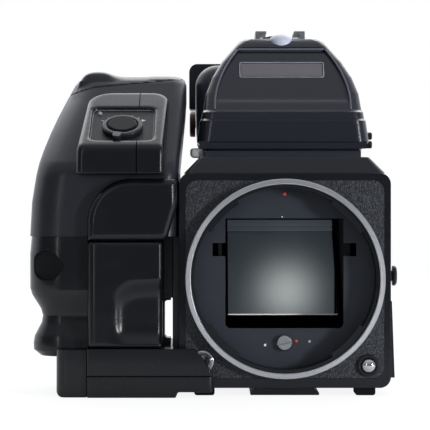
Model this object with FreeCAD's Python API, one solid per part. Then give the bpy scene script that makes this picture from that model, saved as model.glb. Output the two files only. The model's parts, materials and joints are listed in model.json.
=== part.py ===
import FreeCAD, Part

import math
import os

Vector = FreeCAD.Vector

# A medium format single-lens reflex camera, in millimetres.
# The front faces -Y, up is +Z, and the tripod thread is at the origin.

# Clearances
face_gap = 0.3
running_gap = 0.06
seat_gap = 0.05

# Camera body
body_half_width = 46.0
body_front = -36.0
body_back = 31.5
body_bottom = 3.4
body_top = 96.7
body_corner = 4.8
body_wall = 2.4
front_wall = 3.0
covering_depth = 0.6
covering_margin = 2.9
covering_bottom = 7.7
covering_top = 93.5
side_covering_front = -30.0
side_covering_back = 26.0

# Lens mount
lens_axis_height = 50.9
mount_front = -41.0
mount_outer_radius = 43.2
mount_bore_radius = 40.75
spigot_radius = 41.95
bayonet_front = -39.6
bayonet_tube_radius = 39.4
lug_radius = 37.7
lug_thickness = 2.0
lug_half_angle = 13.5
lug_count = 4
throat_plate_front = -29.0
throat_plate_thickness = 1.5
throat_half_width = 25.9
throat_bottom = 28.9
throat_top = 77.0
throat_corner = 2.2
notch_width = 5.6
notch_bottom = 60.5
notch_top = 66.2
drive_shaft_radius = 3.4
drive_shaft_height = 22.6
drive_shaft_front = -31.5
drive_shaft_back = -18.0
drive_slot_width = 0.9
drive_slot_depth = 1.0

# Mirror box, with its reflecting face at 45 degrees
box_half_width = 27.4
box_wall = 1.5
box_floor = 21.4
box_top = 80.6
rear_frame_thickness = 0.9
window_half_width = 26.0
window_bottom = 25.0
window_top = 70.2
mirror_pivot_back = 28.9
mirror_pivot_height = 74.0
mirror_offset = 0.5
mirror_reach = 56.0
mirror_half_width = 24.6
mirror_glass_thickness = 1.2
mirror_plate_thickness = 0.8
mirror_plate_start = 3.0
mirror_axle_radius = 0.8
mirror_barrel_radius = 1.3
flap_axis_back = 29.9
flap_upper_axis = 70.9
flap_lower_axis = 24.3
flap_thickness = 0.8
flap_pin_radius = 0.5
flap_barrel_radius = 0.6
screen_half_width = 28.0
screen_front = -26.5
screen_back = 28.0
screen_thickness = 2.2
screen_ledge = 1.6
screen_frame_height = 4.4
screen_frame_margin = 3.5

# Buttons on the body's front
release_offset = 35.6
release_drop = 35.8
release_radius = 3.4
release_collar_radius = 4.8
release_proud = 2.6
lens_release_offset = 36.2
lens_release_drop = 37.7
lens_release_radius = 3.1
lens_release_proud = 3.4
lens_release_crown = 1.9
collar_proud = 1.5
collar_seat_depth = 0.1

# Top cover and what is under the body
top_cover_height = 7.2
top_cover_margin = 2.0
top_cover_slope = 6.8
top_cover_front = -34.2
top_cover_back = 31.0
light_half_width = 24.0
light_front = -11.0
light_back = 26.0
tripod_half_width = 15.0
tripod_undercut = 2.6
tripod_front = -33.0
tripod_back = 28.0
boss_radius = 8.0
boss_height = 5.0
small_thread_radius = 3.175
large_thread_radius = 4.76
large_thread_offset = 18.0
thread_depth = 7.0
foot_width = 8.9
foot_margin = 11.0
foot_length = 10.0
stud_height = 51.2
stud_place = -8.0
stud_radius = 4.5
stud_neck_radius = 2.4
stud_length = 5.2
rail_bottom = 7.2
rail_top = 40.9
rail_place = -22.0
rail_width = 13.0
rail_depth = 2.4
rail_top_depth = 1.2
rail_undercut = 0.6
rail_overhang = 1.6

# Finder
finder_bottom = 104.2
finder_rail_margin = 11.0
finder_base_set_back = 5.0
finder_base_back = 34.0
skirt_bottom = 107.4
skirt_crease = 111.2
skirt_top = 120.6
skirt_side_margin = 7.4
skirt_inset = 3.4
skirt_front = -17.5
skirt_corner = 6.5
ledge_step = 2.0
ledge_top = 124.5
slope_foot = 125.6
slope_foot_front = -12.6
slope_top_drop = 3.0
slope_top_front = 6.0
flank_set_in = 3.0
flank_top_half_width = 20.7
flank_bulge = 3.6
finder_top = 159.5
crown_inset = 3.7
finder_top_back = 40.0
finder_rear = 72.0
finder_rear_height = 127.5
finder_low_back = 60.0
panel_rim = 2.8
panel_rim_growth = 2.6
panel_recess = 1.2
display_half_width = 19.4
display_height = 8.8
display_middle_share = 0.638
display_depth = 2.0
dome_radius = 5.6
dome_rise = 2.6
dome_seat_depth = 3.0
dome_set_back = 4.8
dome_drop = 0.6
dome_tilt = 20.0
shoe_half_width = 11.6
shoe_slot_half_width = 9.35
shoe_lip_half_width = 6.4
shoe_front = 21.0
shoe_back = 39.0
shoe_base = 1.5
shoe_slot = 2.1
shoe_lip = 1.3
eyepiece_radius = 14.0
eyepiece_bore = 11.0
eyepiece_length = 8.0
eyepiece_depth = 12.0
eyepiece_lens_low = 0.5
eyepiece_lens_high = 3.5
eyecup_radius = 18.5
eyecup_length = 5.0
prism_half_width = 22.0
prism_lift = 1.0
prism_top_wall = 13.5
prism_front_wall = 8.5
prism_slope_wall = 4.8
prism_gap = 0.4
light_path_front = -8.0
light_path_back = 28.0
meter_side_margin = 6.6
meter_right = -24.0
meter_top_drop = 12.0
meter_front = 2.0
meter_back = 50.0
control_side_margin = 3.1
control_top_drop = 7.9
control_height = 22.2
control_back = 66.0
dial_disc_radius = 5.9
dial_disc_place = 30.0
dial_disc_height = 121.2
dial_disc_thickness = 2.6
dial_pin_radius = 1.5
side_button_radius = 1.7
side_button_place = -4.0
side_button_root = 3.0
side_button_heights = (114.2, 110.3)
side_button_proud = 2.0
lug_side_margin = 4.4

# Winder grip, whose X is measured from the body's left side
grip_left = -65.9
grip_lean = 19.0
grip_seam = -39.5
grip_right_low = -0.4
grip_right_high = 2.4
grip_front = -38.0
grip_back = 24.0
grip_front_corner = 15.0
grip_back_corner = 8.0
grip_right_corner = 7.0
grip_top = 142.2
grip_shoulder = 99.0
grip_slope_run = 43.0
crown_height = 4.0
bump_left = -47.5
bump_right = -31.5
bump_height = 2.3
cap_seam_left = 127.2
cap_seam_middle = 136.2
cap_seam_right = 141.0
shell_top = 69.2
shell_bottom = 17.0
shell_top_inset = 0.7
shell_bottom_inset = 5.0
shell_edge = 19.5
shell_edge_inset = 1.7
waist_top = 46.5
waist_bottom = 22.5
waist_depth = 5.0
socket_back = -29.5
strap_recess = -58.2
strap_recess_front = 6.0
column_right = -7.3
column_front = -43.0
column_edge = 3.2
pocket_left = -26.5
pocket_bottom = 24.5
pocket_top = 47.0
pocket_depth = 3.0
pocket_round = 2.8
palm_front = -44.0
palm_back = -28.0
palm_top = 94.2
palm_bottom = 67.3
palm_corner = 19.0
palm_edge = 3.4
palm_right = -0.6
web_left = -3.0
web_front = -28.0
web_back = 22.0
web_bridge_bottom = 42.0
arm_front = -45.0
arm_clearance = 0.7
arm_right = 14.7
arm_top = 21.0
arm_seam = 9.2
arm_step = 2.4
arm_chamfer_side = 7.7
arm_chamfer_height = 10.3
base_back = 20.0
cassette_left = -53.0
cassette_front = -43.0
cassette_top = 16.7
cassette_lip_top = 20.4
cell_radius = 7.1
cell_length = 50.5
cell_spacing = 15.2
cell_count = 3
cell_place = -48.6
cell_middle = -4.0

# Winder dial on its sloped hood
hood_left = -44.5
hood_right = -4.8
hood_seam = -16.8
hood_front = -48.5
hood_bottom = 96.2
hood_front_top = 108.0
hood_back = -6.0
hood_edge = 2.6
dial_angle = 32.0
dial_x = -24.7
dial_y = -33.6
plate_half_width = 13.7
plate_low = -11.9
plate_high = 16.9
plate_depth = 2.6
plate_thickness = 1.2
ring_radius = 8.9
ring_bore = 7.0
ring_height = 2.2
ring_lever = 2.6
winder_button_radius = 6.7
winder_button_height = 2.8
winder_button_travel = 1.6
button_root = 3.0

# Winder drive
bay_left = -38.0
bay_right = -8.5
bay_front = -24.0
bay_back = 17.0
bay_bottom = 70.0
bay_top = 119.0
bay_slant = 12.0
motor_radius = 11.0
motor_length = 19.5
motor_left = -34.5
motor_y = -6.0
motor_z = 106.0
motor_boss_radius = 4.0
motor_boss_length = 1.2
gear_module = 0.8
gear_width = 4.0
pinion_teeth = 12
wheel_teeth = 36
gear_backlash = 0.16
pinion_bore_radius = 1.2
drive_shaft_end = -0.7
coupling_radius = 4.0
wind_shaft_radius = 3.4
wind_shaft_length = 9.0
wind_collar_radius = 5.0
wind_collar_thickness = 2.5
tongue_width = 1.8
tongue_slack = 0.2
tongue_length = 2.2

# Hand strap
strap_thickness = 2.4
strap_front = 7.0
strap_back = 22.0
strap_left = -64.4
strap_top = 118.0
strap_bottom = 19.5
strap_bend = 30.0

# Film magazine
magazine_margin = 1.5
magazine_back = 80.0
magazine_bottom = 8.0
magazine_top = 98.0
magazine_corner = 9.0
gate_thickness = 1.8
gate_half = 27.0
cavity_half_width = 36.0
cavity_back = 74.0
cavity_bottom = 15.0
cavity_top = 88.0
pressure_half_width = 31.0
pressure_half_height = 32.0
film_gap = 0.5
pressure_thickness = 1.5
cheek_thickness = 1.2
spool_radius = 12.2
spool_core = 6.0
film_roll_radius = 11.0
spool_pin = 2.5
spool_y = 58.0
spool_low = 29.0
spool_high = 74.0
crank_radius = 9.5
crank_thickness = 2.4
crank_shaft_radius = 2.2
crank_arm_reach = 12.5
crank_arm_tail = 4.0
crank_arm_half_width = 2.2
crank_arm_thickness = 1.6
crank_knob_offset = 10.2
crank_knob_radius = 2.6
crank_knob_length = 4.2


def rectangle(left, right, low, high, radius=0.0):
    """Corners of a rectangle, all with one radius."""
    return [(left, low, radius), (right, low, radius), (right, high, radius), (left, high, radius)]


def lifted(plane, u, v, level):
    """A point given by two coordinates in a plane and one across it."""
    if plane == "xz":
        return Vector(u, level, v)
    if plane == "yz":
        return Vector(level, u, v)
    return Vector(u, v, level)


def outline(plane, corners, level):
    """A closed wire through corners (u, v, radius), rounded where the radius isn't zero."""
    starts = []
    middles = []
    ends = []
    for index, (u, v, radius) in enumerate(corners):
        before = corners[index - 1]
        after = corners[(index + 1) % len(corners)]
        back = Vector(before[0] - u, before[1] - v, 0).normalize()
        ahead = Vector(after[0] - u, after[1] - v, 0).normalize()
        here = Vector(u, v, 0)
        half = back.getAngle(ahead) / 2
        reach = radius / math.tan(half)
        inward = (back + ahead).normalize()
        centre = here + inward * (radius / math.sin(half))
        starts.append(here + back * reach)
        middles.append(centre - inward * radius)
        ends.append(here + ahead * reach)
    edges = []
    for index in range(len(corners)):
        arc = [lifted(plane, p.x, p.y, level) for p in (starts[index], middles[index], ends[index])]
        if corners[index][2] > 0:
            edges.append(Part.Arc(*arc).toShape())
        following = starts[(index + 1) % len(corners)]
        onward = lifted(plane, following.x, following.y, level)
        if (onward - arc[2]).Length > 1e-6:
            edges.append(Part.LineSegment(arc[2], onward).toShape())
    return Part.Wire(edges)


def prism(plane, corners, low, high):
    """A solid with the given outline, from one level to another across its plane."""
    face = Part.Face(outline(plane, corners, low))
    return face.extrude(lifted(plane, 0, 0, high - low))


def block(left, right, front, back, low, high):
    return Part.makeBox(right - left, back - front, high - low, Vector(left, front, low))


def rod(axis, first, second, radius, low, high):
    """A cylinder along an axis, placed by its other two coordinates in order."""
    if axis == "x":
        return Part.makeCylinder(radius, high - low, Vector(low, first, second), Vector(1, 0, 0))
    if axis == "y":
        return Part.makeCylinder(radius, high - low, Vector(first, low, second), Vector(0, 1, 0))
    return Part.makeCylinder(radius, high - low, Vector(first, second, low), Vector(0, 0, 1))


def tube(axis, first, second, outer, inner, low, high):
    return rod(axis, first, second, outer, low, high).cut(rod(axis, first, second, inner, low - 1, high + 1))


def joined(first, *others):
    """One solid from pieces that overlap or touch, without the seams between them."""
    return first.fuse(list(others)).removeSplitter()


def group(*pieces):
    return Part.makeCompound(list(pieces))


def tilted(shape, angle, x, y, z):
    """A shape drawn flat at the origin, tipped forward about X and carried to its place."""
    copy = shape.copy()
    copy.rotate(Vector(0, 0, 0), Vector(1, 0, 0), angle)
    copy.translate(Vector(x, y, z))
    return copy


def rounded(shape, radius, chosen):
    """A shape with a fillet on the edges that a test picks."""
    return shape.makeFillet(radius, [edge for edge in shape.Edges if chosen(edge)])


def bevelled(shape, size, chosen):
    """A shape with a chamfer on the edges that a test picks."""
    return shape.makeChamfer(size, [edge for edge in shape.Edges if chosen(edge)])


def save(name, shape):
    shape.exportStep("parts/" + name + ".step")


# Camera body

covering_half_width = body_half_width - covering_margin
release_height = lens_axis_height - release_drop
lens_release_height = lens_axis_height - lens_release_drop
covering_outline = rectangle(-covering_half_width, covering_half_width, covering_bottom, covering_top,
                             body_corner)
panel_floor = body_front + covering_depth


def button_holes(radius_gap, low, high):
    """The two round holes for the buttons in the front."""
    release = rod("y", -release_offset, release_height, release_radius + radius_gap, low, high)
    lens_release = rod("y", lens_release_offset, lens_release_height, lens_release_radius + radius_gap,
                       low, high)
    return release.fuse(lens_release)


def make_body_shell():
    outer = prism("xz", rectangle(-body_half_width, body_half_width, body_bottom, body_top, body_corner),
                  body_front, body_back)
    inner_half = body_half_width - body_wall
    inner = prism("xz", rectangle(-inner_half, inner_half, body_bottom + body_wall, body_top - body_wall,
                                  body_corner - body_wall), body_front + front_wall, body_back - body_wall)
    shell = outer.cut(inner)
    recess = prism("xz", covering_outline, body_front - 1, panel_floor)
    ring_seat = rod("y", 0, lens_axis_height, mount_outer_radius + seat_gap, body_front - 1, panel_floor)
    shell = shell.cut(recess.fuse(ring_seat))
    shell = shell.cut(rod("y", 0, lens_axis_height, spigot_radius + seat_gap, body_front - 1, 0))
    shell = shell.cut(button_holes(running_gap, body_front - 1, body_front + front_wall + 1))
    for x, z in ((-release_offset, release_height), (lens_release_offset, lens_release_height)):
        shell = shell.cut(rod("y", x, z, release_collar_radius + seat_gap, body_front - 1,
                              body_front + collar_seat_depth))
    box_outer = box_half_width + box_wall + seat_gap
    shell = shell.cut(block(-box_outer, box_outer, body_back - body_wall - 1, body_back + 1,
                            box_floor - seat_gap, box_top + seat_gap))
    shell = shell.cut(block(-light_half_width, light_half_width, light_front, light_back,
                            body_top - body_wall - 1, body_top + 1))
    shell = shell.cut(block(body_half_width - covering_depth, body_half_width + 1, side_covering_front,
                            side_covering_back, covering_bottom, covering_top))
    for x, y in ((0, 0), (0, large_thread_offset)):
        shell = shell.cut(rod("z", x, y, boss_radius + seat_gap, body_bottom - 1,
                              body_bottom + body_wall + 1))
    return shell.cut(rod("x", motor_y, wheel_z, wind_shaft_radius + running_gap, -body_half_width - 1,
                         -body_half_width + body_wall + 1))


def make_front_covering():
    panel = prism("xz", covering_outline, body_front + collar_seat_depth, panel_floor)
    panel = panel.cut(rod("y", 0, lens_axis_height, mount_outer_radius + seat_gap, body_front - 1, 0))
    return panel.cut(button_holes(running_gap, body_front - 1, 0))


def make_side_covering():
    inner_face = body_half_width - covering_depth
    panel = block(inner_face, body_half_width, side_covering_front, side_covering_back,
                  covering_bottom, covering_top)
    return rounded(panel, 2.0, lambda edge: abs(edge.CenterOfMass.x - inner_face - covering_depth / 2) < 0.01)


def make_mount_ring():
    flange = tube("y", 0, lens_axis_height, mount_outer_radius, mount_bore_radius, mount_front, panel_floor)
    flange = bevelled(flange, 0.5, lambda edge: abs(edge.CenterOfMass.y - mount_front) < 0.01)
    spigot = tube("y", 0, lens_axis_height, spigot_radius, mount_bore_radius, panel_floor,
                  body_front + front_wall)
    return joined(flange, spigot)


def sector(inner, outer, middle, half_angle, low, high):
    """A piece of a ring about the lens axis, square to Y, between two angles from +X."""
    def at(radius, angle):
        turn = math.radians(angle)
        return Vector(radius * math.cos(turn), low, lens_axis_height + radius * math.sin(turn))

    first = middle - half_angle
    last = middle + half_angle
    edges = [Part.Arc(at(outer, first), at(outer, middle), at(outer, last)).toShape(),
             Part.LineSegment(at(outer, last), at(inner, last)).toShape(),
             Part.Arc(at(inner, last), at(inner, middle), at(inner, first)).toShape(),
             Part.LineSegment(at(inner, first), at(outer, first)).toShape()]
    return Part.Face(Part.Wire(edges)).extrude(Vector(0, high - low, 0))


def make_bayonet_ring():
    outer = mount_bore_radius - seat_gap
    ring = tube("y", 0, lens_axis_height, outer, bayonet_tube_radius, bayonet_front, throat_plate_front)
    lugs = [sector(lug_radius, bayonet_tube_radius + 0.5, 45 + 360 / lug_count * turn, lug_half_angle,
                   bayonet_front, bayonet_front + lug_thickness) for turn in range(lug_count)]
    return joined(ring, *lugs)


def throat_opening(low, high):
    corners = [(-throat_half_width, throat_bottom, throat_corner),
               (throat_half_width, throat_bottom, throat_corner),
               (throat_half_width, throat_top, 0.5), (-throat_half_width, throat_top, 0.5)]
    return prism("xz", corners, low, high)


def make_throat_plate():
    back = throat_plate_front + throat_plate_thickness
    plate = rod("y", 0, lens_axis_height, mount_bore_radius - seat_gap, throat_plate_front, back)
    plate = plate.cut(throat_opening(throat_plate_front - 1, back + 1))
    reach = throat_half_width + notch_width
    plate = plate.cut(block(-reach, reach, throat_plate_front - 1, back + 1, notch_bottom, notch_top))
    return plate.cut(rod("y", 0, drive_shaft_height, drive_shaft_radius + running_gap,
                         throat_plate_front - 1, back + 1))


def make_mirror_box():
    front = throat_plate_front + throat_plate_thickness
    outer = box_half_width + box_wall
    frame_front = body_back - rear_frame_thickness
    left = block(-outer, -box_half_width, front, body_back, box_floor, box_top)
    right = block(box_half_width, outer, front, body_back, box_floor, box_top)
    floor = block(-outer, outer, front, body_back, box_floor, box_floor + box_wall)
    frame = block(-outer, outer, frame_front, body_back, box_floor, box_top)
    frame = frame.cut(block(-window_half_width, window_half_width, frame_front - 1, body_back + 1,
                            window_bottom, window_top))
    bearing_half = drive_shaft_radius + 2.2
    bearing = block(-bearing_half, bearing_half, front, drive_shaft_back, box_floor,
                    drive_shaft_height + bearing_half - 0.2)
    box = joined(left, right, floor, frame, bearing)
    box = box.cut(rod("y", 0, drive_shaft_height, drive_shaft_radius + running_gap, front - 1,
                      drive_shaft_back + 1))
    box = box.cut(rod("x", mirror_pivot_back, mirror_pivot_height, mirror_axle_radius + running_gap,
                      -outer - 1, outer + 1))
    for height in (flap_lower_axis, flap_upper_axis):
        box = box.cut(rod("x", flap_axis_back, height, flap_pin_radius + running_gap, -outer - 1, outer + 1))
    return box


def mirror_slab(start, end, half_width, near, far):
    """A slab along the mirror: start and end from the pivot's foot, near and far below the pivot."""
    slab = block(-half_width, half_width, -end, -start, -far, -near)
    return tilted(slab, 45, 0, mirror_pivot_back, mirror_pivot_height)


def make_mirror_glass():
    near = mirror_offset
    return mirror_slab(mirror_plate_start + 1.2, mirror_reach, mirror_half_width, near,
                       near + mirror_glass_thickness)


def make_mirror_frame():
    top = mirror_offset + mirror_glass_thickness
    bottom = top + mirror_plate_thickness
    plate = mirror_slab(mirror_plate_start, mirror_reach - 0.4, mirror_half_width + 0.8, top, bottom)
    rim = mirror_slab(mirror_plate_start, mirror_plate_start + 1.1, mirror_half_width + 0.8, 0.2, bottom)
    web = mirror_slab(0, mirror_plate_start + 0.5, mirror_half_width + 0.8, 0.0, 1.0)
    barrel = rod("x", mirror_pivot_back, mirror_pivot_height, mirror_barrel_radius,
                 -mirror_half_width - 0.8, mirror_half_width + 0.8)
    axle_end = box_half_width + box_wall - 0.4
    axle = rod("x", mirror_pivot_back, mirror_pivot_height, mirror_axle_radius, -axle_end, axle_end)
    return joined(plate, rim, web, barrel, axle)


def make_light_flap(axis_height, low, high):
    """A flap that hangs from, or stands on, its own pin behind the mirror."""
    half = box_half_width - 0.7
    leaf = block(-half, half, flap_axis_back - flap_thickness / 2, flap_axis_back + flap_thickness / 2,
                 low, high)
    barrel = rod("x", flap_axis_back, axis_height, flap_barrel_radius, -half, half)
    pin_end = box_half_width + box_wall - 0.4
    pin = rod("x", flap_axis_back, axis_height, flap_pin_radius, -pin_end, pin_end)
    return joined(leaf, barrel, pin)


def make_screen_frame():
    front = throat_plate_front + throat_plate_thickness
    back = body_back - body_wall - 0.1
    half = screen_half_width + screen_frame_margin
    frame = block(-half, half, front, back, box_top, box_top + screen_frame_height)
    ledge = box_top + screen_ledge / 2
    frame = frame.cut(block(-screen_half_width - seat_gap, screen_half_width + seat_gap,
                            screen_front - seat_gap, screen_back + seat_gap, ledge, box_top + 10))
    return frame.cut(block(-screen_half_width + screen_ledge, screen_half_width - screen_ledge,
                           screen_front + screen_ledge, screen_back - screen_ledge, box_top - 1, ledge + 1))


def make_focusing_screen():
    ledge = box_top + screen_ledge / 2
    return block(-screen_half_width, screen_half_width, screen_front, screen_back, ledge,
                 ledge + screen_thickness)


def make_drive_shaft():
    shaft = rod("y", 0, drive_shaft_height, drive_shaft_radius, drive_shaft_front, drive_shaft_back)
    shaft = bevelled(shaft, 0.4, lambda edge: abs(edge.CenterOfMass.y - drive_shaft_front) < 0.01)
    slot = block(-drive_shaft_radius - 1, drive_shaft_radius + 1, drive_shaft_front - 1,
                 drive_shaft_front + drive_slot_depth, drive_shaft_height - drive_slot_width / 2,
                 drive_shaft_height + drive_slot_width / 2)
    slot.rotate(Vector(0, 0, drive_shaft_height), Vector(0, 1, 0), -12)
    return shaft.cut(slot)


def make_button_collar(x, z, outer, bore):
    collar = tube("y", x, z, outer, bore + running_gap, body_front - collar_proud,
                  body_front + collar_seat_depth)
    return bevelled(collar, 0.5, lambda edge: abs(edge.CenterOfMass.y - body_front + collar_proud) < 0.01)


def make_release_button():
    front = body_front - release_proud
    button = rod("y", -release_offset, release_height, release_radius, front, body_front + front_wall + 1)
    return bevelled(button, 0.6, lambda edge: abs(edge.CenterOfMass.y - front) < 0.01)


def make_lens_release_button():
    front = body_front - lens_release_proud
    button = rod("y", lens_release_offset, lens_release_height, lens_release_radius, front,
                 body_front + front_wall + 1)
    ball_radius = (lens_release_radius ** 2 + lens_release_crown ** 2) / (2 * lens_release_crown)
    ball = Part.makeSphere(ball_radius, Vector(lens_release_offset, front + ball_radius, lens_release_height))
    barrel = rod("y", lens_release_offset, lens_release_height, lens_release_radius,
                 front + lens_release_crown, body_front + front_wall + 1)
    return joined(button.common(ball), barrel)


def make_top_cover():
    top = body_top + top_cover_height
    top_cover_half_width = body_half_width - top_cover_margin
    low = outline("xy", rectangle(-top_cover_half_width, top_cover_half_width, top_cover_front,
                                  top_cover_back, 3.0), body_top)
    high_half = top_cover_half_width - top_cover_slope
    high = outline("xy", rectangle(-high_half, high_half, top_cover_front + 5.2, top_cover_back - 2.0, 2.0),
                   top)
    cover = Part.makeLoft([low, high], True, True)
    return cover.cut(block(-light_half_width, light_half_width, light_front, light_back, body_top - 1,
                           top + 1))


def make_tripod_plate():
    top_half = tripod_half_width - tripod_undercut
    corners = [(-tripod_half_width, 0, 0.3), (tripod_half_width, 0, 0.3), (tripod_half_width, 1.0, 0.2),
               (top_half, body_bottom, 0), (-top_half, body_bottom, 0), (-tripod_half_width, 1.0, 0.2)]
    plate = prism("xz", corners, tripod_front, tripod_back)
    bosses = [rod("z", 0, y, boss_radius, body_bottom - 1, body_bottom + boss_height)
              for y in (0, large_thread_offset)]
    plate = joined(plate, *bosses)
    plate = plate.cut(rod("z", 0, 0, small_thread_radius, -1, thread_depth))
    return plate.cut(rod("z", 0, large_thread_offset, large_thread_radius, -1, thread_depth))


def make_body_feet():
    feet = []
    foot_offset = body_half_width - foot_margin
    for x in (-foot_offset, foot_offset):
        for y in (body_front + 2, body_back - 2 - foot_length):
            left = x - foot_width / 2
            right = x + foot_width / 2
            corners = [(left, 0, 1.2), (right, 0, 1.2), (right, body_bottom, 0), (left, body_bottom, 0)]
            feet.append(prism("xz", corners, y, y + foot_length))
    return group(*feet)


def make_strap_stud():
    neck = rod("x", stud_place, stud_height, stud_neck_radius, body_half_width, body_half_width + stud_length)
    flange = rod("x", stud_place, stud_height, stud_radius, body_half_width, body_half_width + 1.0)
    head = rod("x", stud_place, stud_height, stud_radius, body_half_width + stud_length - 1.8,
               body_half_width + stud_length)
    head = bevelled(head, 0.7, lambda edge: edge.CenterOfMass.x > body_half_width + stud_length - 0.1)
    return joined(neck, flange, head)


def make_accessory_rail():
    """A wedge that stands out further toward its foot, undercut along both sides."""
    near = body_half_width
    left = rail_place - rail_width / 2
    right = rail_place + rail_width / 2
    corners = [(near, rail_bottom, 0), (near + rail_depth, rail_bottom, 0),
               (near + rail_top_depth, rail_top, 0.5), (near, rail_top, 0)]
    rail = prism("xz", corners, left, right)
    for front, back in ((left - 1, left + rail_overhang), (right - rail_overhang, right + 1)):
        rail = rail.cut(block(near - 1, near + rail_undercut, front, back, rail_bottom - 1, rail_top + 1))
    return rail


# Finder

finder_rail_half_width = body_half_width - finder_rail_margin
skirt_half_width = body_half_width - skirt_side_margin
flank_foot_half_width = skirt_half_width - flank_set_in
meter_left = meter_side_margin - body_half_width
control_left = control_side_margin - body_half_width
lug_left = lug_side_margin - body_half_width
slope_top = finder_top - slope_top_drop
slope_angle = math.degrees(math.atan2(slope_top - slope_foot, slope_top_front - slope_foot_front))
slope_reach = (slope_top - slope_foot) / math.sin(math.radians(slope_angle))
display_low = slope_reach * display_middle_share - display_height / 2
display_high = display_low + display_height
rear_run = finder_rear - finder_top_back
rear_drop = finder_top - finder_rear_height
eyepiece_angle = math.degrees(math.atan2(rear_drop, rear_run))
meter_top = finder_top - meter_top_drop


def on_slope(shape):
    """A shape drawn flat, with +Y up the slope and +Z out of it, laid on the finder's front."""
    return tilted(shape, slope_angle, 0, slope_foot_front, slope_foot)


def flank_half_width(share):
    """Half of the finder's width at a share of the way up its sloped front, along a gentle bow."""
    straight = flank_foot_half_width + (flank_top_half_width - flank_foot_half_width) * share
    return straight + 4 * flank_bulge * share * (1 - share)


def finder_section(height, half, front, corner):
    """The finder's plan at a height, long enough to be trimmed at the back."""
    return outline("xy", rectangle(-half, half, front, finder_rear + 2 * corner, corner), height)


def make_finder_hull():
    """The housing's outer form: a skirt, a narrow ledge and flanks that bow in towards the top."""
    ledge_front = skirt_front + ledge_step
    sections = [
        finder_section(skirt_bottom, skirt_half_width - skirt_inset, skirt_front + skirt_inset, skirt_corner),
        finder_section(skirt_crease, skirt_half_width, skirt_front, skirt_corner),
        finder_section(skirt_top, skirt_half_width - 1.4, skirt_front + 0.3, skirt_corner),
        finder_section(skirt_top + 1.0, skirt_half_width - 2.0, ledge_front, skirt_corner - 0.5),
        finder_section(ledge_top, flank_foot_half_width + 0.5, ledge_front + 0.3, skirt_corner - 0.8),
        finder_section(slope_foot, flank_foot_half_width, slope_foot_front, skirt_corner - 1.0)]
    for share in (0.25, 0.5, 0.75, 1.0):
        height = slope_foot + (slope_top - slope_foot) * share
        sections.append(finder_section(height, flank_half_width(share), slope_place(height),
                                       skirt_corner - 1.0 - 2.2 * share))
    crown_front = slope_top_front + crown_inset
    sections.append(finder_section(finder_top - crown_inset * 0.3, flank_top_half_width - crown_inset * 0.4,
                                   slope_top_front + crown_inset * 0.5, skirt_corner - 3.0))
    sections.append(finder_section(finder_top, flank_top_half_width - crown_inset, crown_front,
                                   skirt_corner - 3.0))
    corners = [(skirt_front - 20, skirt_bottom, 0), (finder_low_back - 8, skirt_bottom, 3),
               (finder_low_back, skirt_top, 0), (finder_rear, finder_rear_height, 3),
               (finder_top_back, finder_top, 3), (skirt_front - 20, finder_top, 0)]
    side = prism("yz", corners, -2 * skirt_half_width, 2 * skirt_half_width)
    return Part.makeLoft(sections, True, True).common(side)


def front_panel():
    """The shallow recess in the sloped front, with a rim left standing all round."""
    right = [(flank_half_width(share) - panel_rim - panel_rim_growth * (1 - share), share * slope_reach,
              radius)
             for share, radius in ((0.08, 1.5), (0.3, 30), (0.62, 20), (0.96, 3))]
    left = [(-half, height, radius) for half, height, radius in reversed(right)]
    return on_slope(prism("xy", right + left, -panel_recess, 5))


def make_prism_housing():
    housing = make_finder_hull().cut(front_panel())
    window = rectangle(-display_half_width, display_half_width, display_low, display_high, 1.2)
    housing = housing.cut(on_slope(prism("xy", window, -panel_recess - display_depth, 5)))
    housing = housing.cut(on_dome_seat(Part.makeCylinder(dome_radius + seat_gap, 15,
                                                         Vector(0, 0, -dome_seat_depth))))
    housing = housing.cut(eyepiece_rod(eyepiece_bore, -eyepiece_depth, 5))
    opening = light_half_width - 2
    housing = housing.cut(block(-opening, opening, light_path_front, light_path_back, skirt_bottom - 1,
                                skirt_bottom + 2))
    for height in side_button_heights:
        housing = housing.cut(side_button_socket(height))
    return housing.cut(prism_cavity(prism_gap)).cut(meter_pin_hole())


def slope_place(height):
    """How far back the sloped front lies at a height."""
    share = (height - slope_foot) / (slope_top - slope_foot)
    return slope_foot_front + (slope_top_front - slope_foot_front) * share


def rear_place(height, depth):
    """How far back a line lies that runs a depth inside the sloped rear face, at a height."""
    slant = math.hypot(rear_run, rear_drop)
    return finder_top_back + (finder_top - height) * rear_run / rear_drop - depth * slant / rear_drop


def prism_cavity(gap):
    """The finder prism's own form, grown by a gap on every side."""
    front = skirt_front + prism_front_wall
    low = skirt_bottom + prism_lift
    high = finder_top - prism_top_wall
    depth = eyepiece_depth + prism_gap
    foot = rear_place(low + 20, depth)
    corners = [(front - gap, low - gap, 0), (foot - 18, low - gap, 0), (foot + gap, low + 18.5, 0),
               (rear_place(low + 22, depth) + gap, low + 22, 0),
               (rear_place(high, depth) + gap, high + gap, 0),
               (slope_place(high) + prism_slope_wall - gap, high + gap, 0), (front - gap, low + 14.5, 0)]
    return prism("yz", corners, -prism_half_width - gap, prism_half_width + gap)


def eyepiece_rod(radius, low, high):
    """A cylinder square to the finder's sloped back, measured out from that face."""
    middle_y = (finder_top_back + finder_rear) / 2
    middle_z = (finder_top + finder_rear_height) / 2
    cylinder = Part.makeCylinder(radius, high - low, Vector(0, 0, low), Vector(0, 0, 1))
    return tilted(cylinder, -eyepiece_angle, 0, middle_y, middle_z)


def make_eyepiece_tube():
    body = eyepiece_rod(eyepiece_radius, 0, eyepiece_length)
    return body.cut(eyepiece_rod(eyepiece_bore, -1, eyepiece_length + 1))


def make_eyepiece_lens():
    return eyepiece_rod(eyepiece_bore - seat_gap, eyepiece_lens_low, eyepiece_lens_high)


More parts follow.
